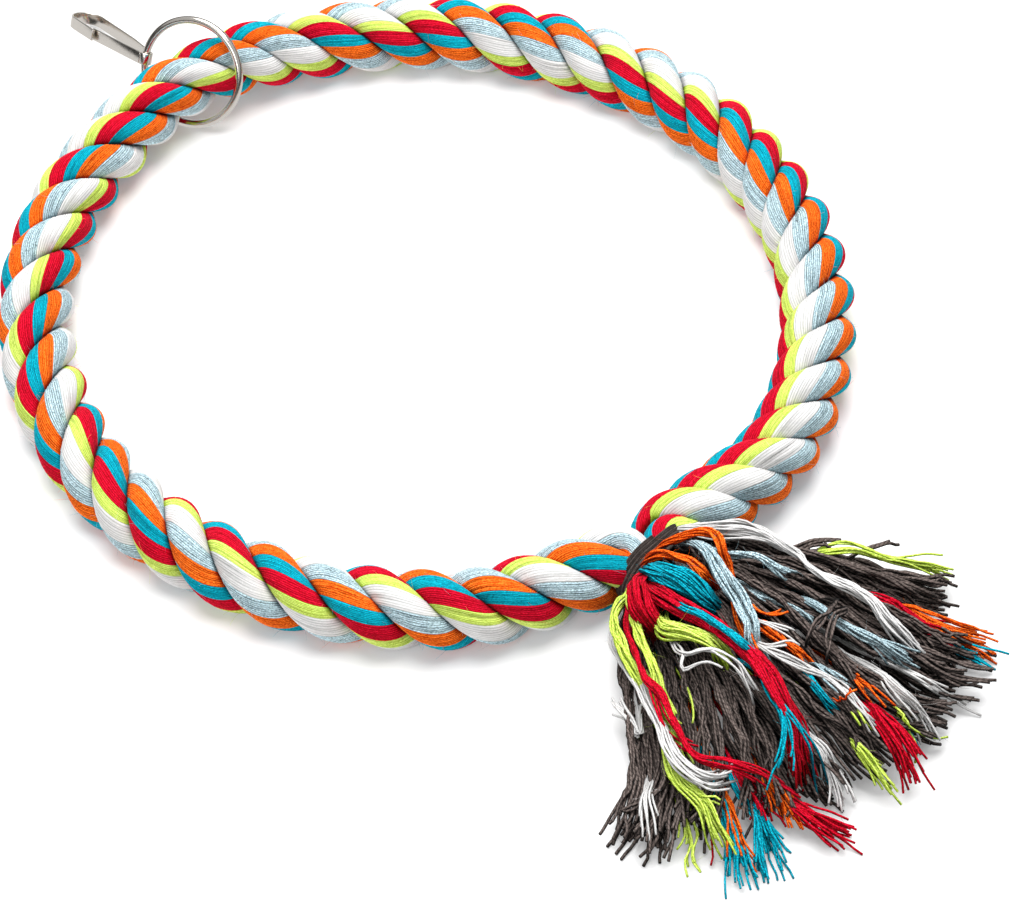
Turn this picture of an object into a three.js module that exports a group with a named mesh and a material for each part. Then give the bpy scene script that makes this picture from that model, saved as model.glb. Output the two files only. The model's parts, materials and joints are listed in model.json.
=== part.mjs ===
// Rope ring perch: a loop of three-strand cotton rope lying flat, a steel ring
// and a spring clip for hanging it, and a bound tassel where the rope ends meet.
// Millimetres, +Z up, +Y from the tassel towards the clip.
import * as THREE from "three";

const DEG = Math.PI / 180;

// Rope
const ROPE_RADIUS = 15;
const LOOP_RADIUS = 161.7;
const LOOP_OVAL = 1.4;
const LOOP_SKEW = 1.5;
const LOOP_DENT = 6;
const DENT_FLAT = 9 * DEG;
const DENT_REACH = 20 * DEG;
const STRANDS = 3;
const LAY = 68.3;
const LAY_TIGHTENING = 0.45;
const LAY_TIGHT_REACH = 110;
const LAY_PHASE = -240 * DEG;
const STEPS_PER_LAY = 10;
const STRAND_GAP = 0.4;
const GROOVE_SHARE = 0.2;
const CORE_SHARE = 0.14;
const FLAT_CUT = ROPE_RADIUS / 10;

// Neck of the tassel, where both rope ends turn outwards side by side
const NECK_RADIUS = 8.35;
const NECK_HALF_GAP = 0.35;
const NECK_BEND = 11;
const NECK_TAPER = 44;
const NECK_SPARE = 1;

// Binding cord round the neck
const BINDING_RADIUS = 1.25;
const BINDING_TURNS = 2;
const BINDING_PITCH = 2.95;
const BINDING_STEPS = 24;
const BINDING_SIDES = 6;
const BINDING_CLEARANCE = 0.5;

// Tassel
const TUFTS = 7;
const TUFT_CLEARANCE = 0.5;
const TUFT_FROM_NECK = 0.4;
const TUFT_FILL = 0.84;
const TUFT_WIDEST = 38;
const TUFT_STEPS = 9;
const TUFT_SIDES = 8;
const FAN_CENTRE = 10 * DEG;
const FAN_HALF = 51 * DEG;
const FAN_LENGTH = 140;
const FAN_SHORT_SIDES = 24;
const LAYER_HEIGHT = 7.4;
const LAYER_CLEARANCE = 0.7;
const CORE_SWELL = 15;
const COLOUR_SWELL = 16;
const TIP_HEIGHT = 8.6;
const TUFT_SETTLE = 0.4;

// Steel ring
const WIRE_RADIUS = 1.7;
const RING_RADIUS = 23;
const RING_PLACE = 185.2 * DEG;
const RING_LEAN_RISE = 35.5 * DEG;
const RING_EYE = 44.7 * DEG;
const RING_SIDE_PLAY = 1.2;
const RING_SEAT_PLAY = 3.2;
const RING_STEPS = 36;
const WIRE_SIDES = 8;
const FLOOR_CLEARANCE = 0.1;
const LIFT_REACH = 75;

// Spring clip, bent from one flat strip
const STRIP_WIDTH = 5.2;
const STRIP_THICKNESS = 0.9;
const EYE_PLAY = 0.5;
const CLIP_DROP = 13 * DEG;
const CLIP_SWEEP = 4.5 * DEG;
const CLIP_KINK = 18.3;
const CLIP_LENGTH = 48;
const ARM_AT_KINK = 5.8;
const ARM_AT_END = 8.2;
const HOOK_RADIUS = 7.2;
const TIP_BACK = 17.5;
const TIP_FLARE = 4 * DEG;
const GATE_GAP = 0.35;
const GATE_KNEE = 13;
const GATE_OVERLAP = 2.5;
const GATE_PLAY = 0.4;

const UP = new THREE.Vector3(0, 0, 1);
const EYE_RADIUS = WIRE_RADIUS + EYE_PLAY + STRIP_THICKNESS / 2;

const COTTON = { roughness: 0.95, metalness: 0 };
const NICKEL = { color: 0xb9b9b6, roughness: 0.25, metalness: 1 };
const STRAND_COLOURS = [0xd05028, 0x3aa6bd, 0xb9cf4e];
const CORE_COLOUR = 0x3a3a3c;
const BUNDLE_COLOURS = [0xc9e64a, 0xf0f0ee, 0xb3122c, 0x0f86a6, 0xe8641e, 0x9db3c2];

function vec(x, y, z) {
  return new THREE.Vector3(x, y, z);
}

function smooth(value) {
  const x = THREE.MathUtils.clamp(value, 0, 1);
  return x * x * (3 - 2 * x);
}

// Closed solid through rings of points; flipped names the sides whose diagonal turns the other way.
function ringSolid(rings, { closed = false, flipped = [] } = {}) {
  const sides = rings[0].length;
  const positions = [];
  const index = [];
  for (const ring of rings) {
    for (const point of ring) {
      positions.push(point.x, point.y, point.z);
    }
  }
  const spans = closed ? rings.length : rings.length - 1;
  for (let k = 0; k < spans; k += 1) {
    const here = k * sides;
    const next = ((k + 1) % rings.length) * sides;
    for (let j = 0; j < sides; j += 1) {
      const side = (j + 1) % sides;
      if (flipped.includes(j)) {
        index.push(here + j, here + side, next + j, here + side, next + side, next + j);
      } else {
        index.push(here + j, here + side, next + side, here + j, next + side, next + j);
      }
    }
  }
  if (!closed) {
    const last = (rings.length - 1) * sides;
    for (let j = 1; j < sides - 1; j += 1) {
      index.push(0, j + 1, j, last, last + j, last + j + 1);
    }
  }
  const geometry = new THREE.BufferGeometry();
  geometry.setAttribute("position", new THREE.Float32BufferAttribute(positions, 3));
  geometry.setIndex(signedVolume(positions, index) < 0 ? reversed(index) : index);
  geometry.computeVertexNormals();
  return geometry;
}

function signedVolume(positions, index) {
  const at = (i) => vec(positions[3 * i], positions[3 * i + 1], positions[3 * i + 2]);
  let volume = 0;
  for (let i = 0; i < index.length; i += 3) {
    volume += at(index[i]).dot(at(index[i + 1]).cross(at(index[i + 2])));
  }
  return volume / 6;
}

function reversed(index) {
  const turned = [];
  for (let i = 0; i < index.length; i += 3) {
    turned.push(index[i], index[i + 2], index[i + 1]);
  }
  return turned;
}

function addPart(group, name, geometry, finish) {
  const mesh = new THREE.Mesh(geometry, new THREE.MeshStandardMaterial(finish));
  mesh.name = name;
  group.add(mesh);
}

// Path of the rope's centre line, from one neck end round the loop to the other.
function loopRadius(angle) {
  const fromTassel = Math.min(angle, 2 * Math.PI - angle);
  const away = smooth((fromTassel - DENT_FLAT) / DENT_REACH);
  const oval = LOOP_OVAL * Math.cos(2 * angle) + LOOP_SKEW * Math.sin(2 * angle) * away;
  return LOOP_RADIUS + oval - LOOP_DENT * (1 - away);
}

const NECK_HALF = NECK_RADIUS + NECK_HALF_GAP;
const JOIN_RADIUS = loopRadius(0);
const JOIN_ANGLE = Math.asin((NECK_HALF + NECK_BEND) / (JOIN_RADIUS + NECK_BEND));
const NECK_STRAIGHT = BINDING_TURNS * BINDING_PITCH + 2 * BINDING_RADIUS + NECK_SPARE;
const NECK_END = -(JOIN_RADIUS + NECK_BEND) * Math.cos(JOIN_ANGLE) - NECK_STRAIGHT;
const BEND_ANGLE = Math.PI / 2 - JOIN_ANGLE;
const BEND_LENGTH = NECK_BEND * BEND_ANGLE;
const LOOP_LENGTH = LOOP_RADIUS * 2 * (Math.PI - JOIN_ANGLE);
const END_LENGTH = NECK_STRAIGHT + BEND_LENGTH;
const ROPE_LENGTH = LOOP_LENGTH + 2 * END_LENGTH;

// Steel ring: it leans until its narrow way rests on the rope, and sits off the rope's centre
const RING_LEAN = Math.acos((ROPE_RADIUS + WIRE_RADIUS + RING_SIDE_PLAY) / RING_RADIUS);
const RING_SHIFT = RING_RADIUS - WIRE_RADIUS - ROPE_RADIUS - RING_SEAT_PLAY;
const RING_OUT = vec(Math.sin(RING_PLACE), -Math.cos(RING_PLACE), 0);
const RING_TANGENT = vec(-Math.cos(RING_PLACE), -Math.sin(RING_PLACE), 0);
const RING_LONG = RING_OUT.clone()
  .multiplyScalar(Math.cos(RING_LEAN_RISE))
  .addScaledVector(UP, Math.sin(RING_LEAN_RISE));
const RING_NORMAL = RING_TANGENT.clone().negate().applyAxisAngle(RING_LONG, RING_LEAN);
const RING_SHORT = RING_NORMAL.clone().cross(RING_LONG);
const RING_DROP = RING_RADIUS * Math.hypot(RING_LONG.z, RING_SHORT.z) + WIRE_RADIUS;
const ROPE_HEIGHT = ROPE_RADIUS;
const ROPE_LIFT = FLAT_CUT + FLOOR_CLEARANCE + RING_DROP - RING_SHIFT * RING_LONG.z - ROPE_HEIGHT;
const RING_CENTRE = RING_OUT.clone()
  .multiplyScalar(loopRadius(RING_PLACE))
  .addScaledVector(UP, ROPE_HEIGHT + ROPE_LIFT)
  .addScaledVector(RING_LONG, RING_SHIFT);

function ropeStation(length) {
  const fromEnd = Math.min(length, ROPE_LENGTH - length);
  const mirrored = length > ROPE_LENGTH / 2 ? -1 : 1;
  let point;
  let tangent;
  if (fromEnd < END_LENGTH) {
    const turned = Math.max(fromEnd - NECK_STRAIGHT, 0) / NECK_BEND;
    const centreX = NECK_HALF + NECK_BEND;
    point = vec(
      mirrored * (centreX - NECK_BEND * Math.cos(turned)),
      NECK_END + Math.min(fromEnd, NECK_STRAIGHT) + NECK_BEND * Math.sin(turned),
      ROPE_HEIGHT,
    );
    tangent = vec(Math.sin(turned), mirrored * Math.cos(turned), 0);
  } else {
    const share = (length - END_LENGTH) / LOOP_LENGTH;
    const angle = JOIN_ANGLE + share * 2 * (Math.PI - JOIN_ANGLE);
    const radius = loopRadius(angle);
    const away = Math.abs(angle - RING_PLACE) * LOOP_RADIUS;
    const lift = ROPE_LIFT * smooth(1 - away / LIFT_REACH);
    point = vec(radius * Math.sin(angle), -radius * Math.cos(angle), ROPE_HEIGHT + lift);
    tangent = vec(Math.cos(angle), Math.sin(angle), 0);
  }
  const along = length - END_LENGTH + JOIN_RADIUS * JOIN_ANGLE;
  const tightened = LAY_TIGHTENING * (1 - Math.exp(-Math.max(along, 0) / LAY_TIGHT_REACH));
  const turns = along / LAY + tightened;
  const taper = smooth((fromEnd - NECK_STRAIGHT) / NECK_TAPER);
  const radius = THREE.MathUtils.lerp(NECK_RADIUS, ROPE_RADIUS, taper);
  return { point, out: tangent.clone().cross(UP), radius, twist: LAY_PHASE + 2 * Math.PI * turns };
}

// Cross-section of one strand: a third of the rope's round, bulging between its grooves.
const LOBE = Math.PI / STRANDS;
const LOBE_SHOULDER = LOBE * 0.67;
const LOBE_CREST = LOBE * 0.25;
const SHOULDER_SHARE = 0.955;

function strandRing(station, strand) {
  const middle = station.twist + LOBE + strand * 2 * LOBE;
  const half = STRAND_GAP / 2;
  const side = (sign, reach) => {
    const angle = middle + sign * LOBE;
    return [
      reach * station.radius * Math.cos(angle) + sign * half * Math.sin(angle),
      reach * station.radius * Math.sin(angle) - sign * half * Math.cos(angle),
    ];
  };
  const crown = (offset, reach) => [
    reach * station.radius * Math.cos(middle + offset),
    reach * station.radius * Math.sin(middle + offset),
  ];
  const outline = [
    side(-1, CORE_SHARE),
    side(-1, 1 - GROOVE_SHARE),
    crown(-LOBE_SHOULDER, SHOULDER_SHARE),
    crown(-LOBE_CREST, 1),
    crown(LOBE_CREST, 1),
    crown(LOBE_SHOULDER, SHOULDER_SHARE),
    side(1, 1 - GROOVE_SHARE),
    side(1, CORE_SHARE),
  ];
  return outline.map(([upward, outward]) => {
    const point = station.point.clone().addScaledVector(UP, upward);
    point.addScaledVector(station.out, outward);
    point.z = Math.max(point.z, FLAT_CUT);
    return point;
  });
}

const FAR_SIDE = 6;

function addRope(group) {
  const steps = Math.round((ROPE_LENGTH / LAY) * STEPS_PER_LAY);
  const stations = [];
  for (let k = 0; k <= steps; k += 1) {
    stations.push(ropeStation((ROPE_LENGTH * k) / steps));
  }
  for (let strand = 0; strand < STRANDS; strand += 1) {
    const rings = stations.map((station) => strandRing(station, strand));
    const geometry = ringSolid(rings, { flipped: [FAR_SIDE] });
    addPart(group, `rope_strand_${strand + 1}`, geometry, { color: STRAND_COLOURS[strand], ...COTTON });
  }
}

// Round tube along points that stay in planes holding the given axis direction.
function tubeRings(points, radius, sides) {
  return points.map((point, k) => {
    const before = points[Math.max(k - 1, 0)];
    const after = points[Math.min(k + 1, points.length - 1)];
    const along = after.clone().sub(before).normalize();
    const first = vec(0, 1, 0).addScaledVector(along, -along.y).normalize();
    const second = along.clone().cross(first);
    const ring = [];
    for (let j = 0; j < sides; j += 1) {
      const angle = (2 * Math.PI * (j + 0.5)) / sides;
      ring.push(
        point.clone()
          .addScaledVector(first, radius * Math.cos(angle))
          .addScaledVector(second, radius * Math.sin(angle)),
      );
    }
    return ring;
  });
}

// Binding: one open winding round both rope ends, each end running straight for a cord's width.
function addBinding(group) {
  const reach = NECK_RADIUS + BINDING_CLEARANCE + BINDING_RADIUS;
  const flat = 2 * NECK_HALF;
  const round = Math.PI * reach;
  const lap = 2 * (flat + round);
  const outline = (distance) => {
    const d = ((distance % lap) + lap) % lap;
    if (d < flat) {
      return [NECK_HALF - d, reach];
    }
    if (d < flat + round) {
      const angle = Math.PI / 2 + (d - flat) / reach;
      return [-NECK_HALF + reach * Math.cos(angle), reach * Math.sin(angle)];
    }
    if (d < 2 * flat + round) {
      return [-NECK_HALF + d - flat - round, -reach];
    }
    const angle = -Math.PI / 2 + (d - 2 * flat - round) / reach;
    return [NECK_HALF + reach * Math.cos(angle), reach * Math.sin(angle)];
  };
  const count = BINDING_TURNS * BINDING_STEPS;
  const start = NECK_END + BINDING_RADIUS + BINDING_TURNS * BINDING_PITCH;
  const points = [];
  for (let k = 0; k <= count; k += 1) {
    const [x, z] = outline((lap * k) / BINDING_STEPS + flat / 2);
    points.push(vec(x, start - (BINDING_PITCH * k) / BINDING_STEPS, ROPE_HEIGHT + z));
  }
  const tail = 2 * BINDING_RADIUS;
  const beyond = (from, through) => through.clone().sub(from).setLength(tail).add(through);
  points.unshift(beyond(points[1], points[0]));
  points.push(beyond(points[count], points[count + 1]));
  let least = Infinity;
  for (let i = 0; i < points.length; i += 1) {
    for (let j = i + BINDING_STEPS / 2; j < points.length; j += 1) {
      least = Math.min(least, points[i].distanceTo(points[j]));
    }
  }
  console.log(`binding cord least self gap ${(least - 2 * BINDING_RADIUS).toFixed(2)} mm`);
  const geometry = ringSolid(tubeRings(points, BINDING_RADIUS, BINDING_SIDES));
  addPart(group, "binding_cord", geometry, { color: CORE_COLOUR, ...COTTON });
}

// Tassel: two layers of yarn tufts fanning out from the neck over the floor.
const CORE_MIDDLE = FLAT_CUT + CORE_SWELL / 2 - TUFT_SETTLE;
const CORE_END = FLAT_CUT + TIP_HEIGHT / 2 - TUFT_SETTLE;
const COLOUR_MIDDLE = CORE_MIDDLE + (CORE_SWELL + COLOUR_SWELL) / 2 + LAYER_CLEARANCE;
const COLOUR_END = CORE_END + TIP_HEIGHT + LAYER_CLEARANCE;
const LAYERS = {
  core: { side: -1, middle: CORE_MIDDLE, end: CORE_END, swell: CORE_SWELL },
  colour: { side: 1, middle: COLOUR_MIDDLE, end: COLOUR_END, swell: COLOUR_SWELL },
};
const SWELL_AT = 0.3;

function tuftPath(place) {
  const share = (2 * place) / (TUFTS - 1) - 1;
  const angle = FAN_CENTRE + FAN_HALF * share;
  const length = FAN_LENGTH - FAN_SHORT_SIDES * share * share;
  const startX = share * (2 * NECK_HALF - TUFT_CLEARANCE) * (1 - 1 / TUFTS);
  const startY = NECK_END - TUFT_FROM_NECK;
  const turnY = startY - NECK_RADIUS * 2;
  const tip = [length * Math.sin(angle), NECK_END + NECK_BEND - length * Math.cos(angle)];
  const curve = new THREE.QuadraticBezierCurve(
    new THREE.Vector2(startX, startY),
    new THREE.Vector2(startX, turnY),
    new THREE.Vector2(...tip),
  );
  return curve;
}

function spacingAt(curves, place, share) {
  const point = curves[place].getPoint(share);
  let least = Infinity;
  for (const other of [place - 1, place + 1]) {
    if (other >= 0 && other < TUFTS) {
      for (const near of curves[other].getPoints(60)) {
        least = Math.min(least, near.distanceTo(point));
      }
    }
  }
  return least;
}

function tuftSection(layer, share) {
  const rise = share < SWELL_AT ? smooth(share / SWELL_AT) : 1;
  const fall = share < SWELL_AT ? 0 : smooth((share - SWELL_AT) / (1 - SWELL_AT));
  const startZ = ROPE_HEIGHT + layer.side * (LAYER_HEIGHT + TUFT_CLEARANCE) / 2;
  const upTo = THREE.MathUtils.lerp(startZ, layer.middle, rise);
  const height = THREE.MathUtils.lerp(LAYER_HEIGHT, layer.swell, rise);
  return {
    z: THREE.MathUtils.lerp(upTo, layer.end, fall),
    height: THREE.MathUtils.lerp(height, TIP_HEIGHT, fall),
  };
}

function addTassel(group) {
  const curves = [];
  for (let place = 0; place < TUFTS; place += 1) {
    curves.push(tuftPath(place));
  }
  for (const [kind, layer] of Object.entries(LAYERS)) {
    for (let place = 0; place < TUFTS; place += 1) {
      const rings = [];
      for (let k = 0; k <= TUFT_STEPS; k += 1) {
        const share = k / TUFT_STEPS;
        const centre = curves[place].getPoint(share);
        const heading = curves[place].getTangent(share);
        const across = vec(heading.y, -heading.x, 0);
        const section = tuftSection(layer, share);
        const width = Math.min(TUFT_FILL * spacingAt(curves, place, share), TUFT_WIDEST);
        const ring = [];
        for (let j = 0; j < TUFT_SIDES; j += 1) {
          const angle = (2 * Math.PI * (j + 0.5)) / TUFT_SIDES;
          const point = vec(centre.x, centre.y, section.z);
          point.addScaledVector(across, (width / 2) * Math.cos(angle));
          point.z = Math.max(point.z + (section.height / 2) * Math.sin(angle), FLAT_CUT);
          ring.push(point);
        }
        rings.push(ring);
      }
      const colour = kind === "core" ? CORE_COLOUR : BUNDLE_COLOURS[place % BUNDLE_COLOURS.length];
      addPart(group, `tuft_${kind}_${place + 1}`, ringSolid(rings), { color: colour, ...COTTON });
    }
  }
}

function addSteelRing(group) {
  const rings = [];
  for (let k = 0; k < RING_STEPS; k += 1) {
    const angle = (2 * Math.PI * k) / RING_STEPS;
    const out = RING_LONG.clone().multiplyScalar(Math.cos(angle));
    out.addScaledVector(RING_SHORT, Math.sin(angle));
    const ring = [];
    for (let j = 0; j < WIRE_SIDES; j += 1) {
      const turn = (2 * Math.PI * (j + 0.5)) / WIRE_SIDES;
      ring.push(
        RING_CENTRE.clone()
          .addScaledVector(out, RING_RADIUS + WIRE_RADIUS * Math.cos(turn))
          .addScaledVector(RING_NORMAL, WIRE_RADIUS * Math.sin(turn)),
      );
    }
    rings.push(ring);
  }
  addPart(group, "steel_ring", ringSolid(rings, { closed: true }), NICKEL);
}

// Clip frame: its eye rides on the ring's wire, the hook points away from the rope.
const EYE_OUT = RING_LONG.clone()
  .multiplyScalar(Math.cos(RING_EYE))
  .addScaledVector(RING_SHORT, Math.sin(RING_EYE));
const EYE_CENTRE = RING_CENTRE.clone().addScaledVector(EYE_OUT, RING_RADIUS);
const STRIP_AXIS = RING_NORMAL.clone().cross(EYE_OUT);
const CLIP_AHEAD = vec(
  -Math.sin(CLIP_SWEEP) * Math.cos(CLIP_DROP),
  Math.cos(CLIP_SWEEP) * Math.cos(CLIP_DROP),
  -Math.sin(CLIP_DROP),
);
CLIP_AHEAD.addScaledVector(STRIP_AXIS, -CLIP_AHEAD.dot(STRIP_AXIS)).normalize();
const CLIP_ASIDE = STRIP_AXIS.clone().cross(CLIP_AHEAD);

// Flat strip standing on edge along a planar line given ahead and aside of the eye.
function strip(line) {
  const rings = line.map(([ahead, aside], k) => {
    const before = line[Math.max(k - 1, 0)];
    const after = line[Math.min(k + 1, line.length - 1)];
    const turnIn = Math.atan2(aside - before[1], ahead - before[0]);
    const turnOut = Math.atan2(after[1] - aside, after[0] - ahead);
    const first = k === 0 ? turnOut : turnIn;
    const last = k === line.length - 1 ? turnIn : turnOut;
    const bend = Math.atan2(Math.sin(last - first), Math.cos(last - first));
    const heading = first + bend / 2;
    const half = STRIP_THICKNESS / 2 / Math.cos(bend / 2);
    const across = [-Math.sin(heading) * half, Math.cos(heading) * half];
    const ring = [];
    for (const [face, edge] of [[1, 1], [-1, 1], [-1, -1], [1, -1]]) {
      ring.push(
        EYE_CENTRE.clone()
          .addScaledVector(CLIP_AHEAD, ahead + face * across[0])
          .addScaledVector(CLIP_ASIDE, aside + face * across[1])
          .addScaledVector(STRIP_AXIS, (edge * STRIP_WIDTH) / 2),
      );
    }
    return ring;
  });
  return ringSolid(rings);
}

function arc(centre, radius, from, to, steps) {
  const line = [];
  for (let k = 0; k <= steps; k += 1) {
    const angle = from + ((to - from) * k) / steps;
    line.push([centre[0] + radius * Math.cos(angle), centre[1] + radius * Math.sin(angle)]);
  }
  return line;
}

const EYE_STEPS = 14;
const EYE_MOUTH = -90 * DEG;
const EYE_LEAVE = 105 * DEG;
const HOOK_STEPS = 10;
const HOOK_CENTRE = [CLIP_LENGTH, ARM_AT_END - HOOK_RADIUS];

function addClip(group) {
  const eye = arc([0, 0], EYE_RADIUS, EYE_MOUTH, EYE_LEAVE - 2 * Math.PI, EYE_STEPS);
  const hook = arc(HOOK_CENTRE, HOOK_RADIUS, Math.PI / 2, TIP_FLARE - Math.PI / 2, HOOK_STEPS);
  const end = hook[hook.length - 1];
  const tip = [end[0] - TIP_BACK * Math.cos(TIP_FLARE), end[1] - TIP_BACK * Math.sin(TIP_FLARE)];
  const body = [...eye, [CLIP_KINK, ARM_AT_KINK], ...hook, tip];
  addPart(group, "clip_body", strip(body), NICKEL);
  const lap = (STRIP_THICKNESS + GATE_PLAY) / Math.cos(TIP_FLARE);
  const overlap = GATE_OVERLAP * Math.tan(TIP_FLARE);
  const gate = [
    [GATE_GAP, -EYE_RADIUS],
    [GATE_KNEE, -EYE_RADIUS],
    [tip[0] + GATE_OVERLAP, tip[1] + overlap + lap],
  ];
  addPart(group, "clip_gate", strip(gate), NICKEL);
}

function printPlaces(offset) {
  const show = (name, point) => {
    const [x, y, z] = point.clone().add(offset).toArray();
    console.log(`${name} ${x.toFixed(4)} ${y.toFixed(4)} ${z.toFixed(4)}`);
  };
  const none = offset.clone().negate();
  const ropeAxis = RING_OUT.clone().multiplyScalar(loopRadius(RING_PLACE));
  ropeAxis.z = ROPE_HEIGHT + ROPE_LIFT;
  const inClip = (ahead, aside) => EYE_CENTRE.clone()
    .addScaledVector(CLIP_AHEAD, ahead)
    .addScaledVector(CLIP_ASIDE, aside);
  show("ring hinge at", ropeAxis);
  show("ring hinge axis", RING_TANGENT.clone().add(none));
  show("clip hinge at", EYE_CENTRE);
  show("clip hinge axis", STRIP_AXIS.clone().add(none));
  show("gate hinge at", inClip(GATE_GAP, -EYE_RADIUS));
  show("hook space centre", inClip(HOOK_CENTRE[0] - HOOK_RADIUS, HOOK_CENTRE[1]));
  show("clip ahead", CLIP_AHEAD.clone().add(none));
  show("clip aside", CLIP_ASIDE.clone().add(none));
  const slope = Math.atan2(ARM_AT_END - ARM_AT_KINK, CLIP_LENGTH - CLIP_KINK);
  const inwards = CLIP_AHEAD.clone()
    .multiplyScalar(Math.sin(slope))
    .addScaledVector(CLIP_ASIDE, -Math.cos(slope));
  const armMiddle = inClip((CLIP_KINK + CLIP_LENGTH) / 2, (ARM_AT_KINK + ARM_AT_END) / 2);
  show("arm inner face at", armMiddle.addScaledVector(inwards, STRIP_THICKNESS / 2));
  show("arm inner face normal", inwards.add(none));
  show("loop centre", vec(0, 0, 0));
}

function build() {
  const body = new THREE.Group();
  addRope(body);
  addBinding(body);
  addTassel(body);
  addSteelRing(body);
  addClip(body);
  const box = new THREE.Box3().setFromObject(body);
  const offset = vec(-(box.min.x + box.max.x) / 2, -(box.min.y + box.max.y) / 2, -box.min.z);
  for (const mesh of body.children) {
    mesh.geometry.translate(offset.x, offset.y, offset.z);
  }
  printPlaces(offset);
  return body;
}

export default build();
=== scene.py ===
"""Looks of a rope ring perch: laid cotton rope, its bound tassel, a steel ring and a spring clip.

Every length is in metres and every angle in radians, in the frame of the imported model.
"""

import json
import logging
import math
from collections.abc import Callable
from dataclasses import dataclass, field
from enum import Enum
from typing import NamedTuple

import bpy
import numpy as np
from bpy.types import ID, Material, Node, NodeSocket, NodeTree, Object
from mathutils import Matrix, Vector
from numpy.random import Generator

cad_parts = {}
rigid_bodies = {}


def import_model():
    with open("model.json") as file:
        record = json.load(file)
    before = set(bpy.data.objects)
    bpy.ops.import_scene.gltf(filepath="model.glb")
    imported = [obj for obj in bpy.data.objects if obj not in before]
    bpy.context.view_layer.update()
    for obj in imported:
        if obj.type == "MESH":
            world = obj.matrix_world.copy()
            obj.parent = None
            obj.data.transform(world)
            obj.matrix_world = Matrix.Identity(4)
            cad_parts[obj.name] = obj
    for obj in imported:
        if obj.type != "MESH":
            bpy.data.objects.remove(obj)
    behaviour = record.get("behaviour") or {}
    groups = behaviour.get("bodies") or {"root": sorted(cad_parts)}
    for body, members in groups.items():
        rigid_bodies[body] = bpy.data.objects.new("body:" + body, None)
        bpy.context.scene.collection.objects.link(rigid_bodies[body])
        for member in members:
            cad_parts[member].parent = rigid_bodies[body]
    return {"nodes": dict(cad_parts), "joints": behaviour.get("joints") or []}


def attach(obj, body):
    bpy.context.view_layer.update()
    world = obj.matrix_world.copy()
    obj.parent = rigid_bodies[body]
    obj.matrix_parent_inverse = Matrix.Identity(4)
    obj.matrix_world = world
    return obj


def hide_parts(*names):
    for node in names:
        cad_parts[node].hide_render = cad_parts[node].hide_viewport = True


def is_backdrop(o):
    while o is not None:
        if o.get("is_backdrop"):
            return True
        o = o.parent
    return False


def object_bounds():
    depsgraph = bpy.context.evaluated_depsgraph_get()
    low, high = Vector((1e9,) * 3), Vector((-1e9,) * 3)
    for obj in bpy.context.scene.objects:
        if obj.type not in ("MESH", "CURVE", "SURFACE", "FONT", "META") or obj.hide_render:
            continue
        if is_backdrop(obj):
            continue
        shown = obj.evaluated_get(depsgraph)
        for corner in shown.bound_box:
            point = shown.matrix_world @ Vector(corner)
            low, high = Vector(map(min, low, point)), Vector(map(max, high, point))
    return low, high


LOG = logging.getLogger("rope_ring_perch")
MM = 0.001
FULL_TURN = 2 * math.pi
UP = np.array([0.0, 0.0, 1.0])
# The texture map of the yarns, the cotton that one unit of it covers, and a loose yarn's share of its width,
# which keeps clear of the painted shade between neighbours.
YARN_UV = "yarn"
YARN_UNIT = 10 * MM
ROUND_YARN = (0.25, 0.75)
# Painted shade at each point of the cotton, 0 to 1, in creases, under loose yarns and on the binding.
SHADE_LAYER = "crease"
# The lowest cotton is this far above the floor.
FLOOR = 0.1 * MM
# A line that rises more than this takes its first cross direction from X.
STEEP = 0.9
# Points on each span of a smooth line.
SPLINE_STEPS = 12
# The waves of a yarn start anywhere up to this angle.
LAST_PHASE = 6.3

Pair = tuple[float, float]
Triple = tuple[float, float, float]
Quad = tuple[float, float, float, float]


class Body(Enum):
    """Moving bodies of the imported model."""

    ROPE = "rope"
    RING = "ring"
    CLIP = "clip"
    GATE = "gate"


class Cotton(Enum):
    """Yarn colours, by the record's material slots."""

    RED = "cotton_red"
    TEAL = "cotton_teal"
    ORANGE = "cotton_orange"
    GREY = "cotton_grey"
    WHITE = "cotton_white"
    LIME = "cotton_lime"
    CHARCOAL = "cotton_charcoal"


Cottons = dict[Cotton, Material]
RED, TEAL, ORANGE, GREY, WHITE, LIME, CHARCOAL = Cotton
BAND_ORDER = (RED, TEAL, ORANGE, GREY, WHITE, LIME)


def smooth(value: np.ndarray) -> np.ndarray:
    """Eases from 0 to 1.

    Args:
        value: Shares, cut to the range 0 to 1.

    Returns:
        The eased shares.
    """
    x = np.clip(value, 0.0, 1.0)
    return x * x * (3.0 - 2.0 * x)


def unit(vectors: np.ndarray) -> np.ndarray:
    """Scales vectors to length 1.

    Args:
        vectors: Rows of vectors.

    Returns:
        The rows at length 1.
    """
    return vectors / np.maximum(np.linalg.norm(vectors, axis=-1, keepdims=True), 1e-12)


def linear(code: str) -> Triple:
    """Turns a display colour into scene light.

    Args:
        code: Six hexadecimal digits.

    Returns:
        Red, green and blue, linear.
    """
    values = [int(code[i : i + 2], 16) / 255.0 for i in (0, 2, 4)]
    red, green, blue = (v / 12.92 if v <= 0.04045 else ((v + 0.055) / 1.055) ** 2.4 for v in values)
    return red, green, blue


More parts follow.
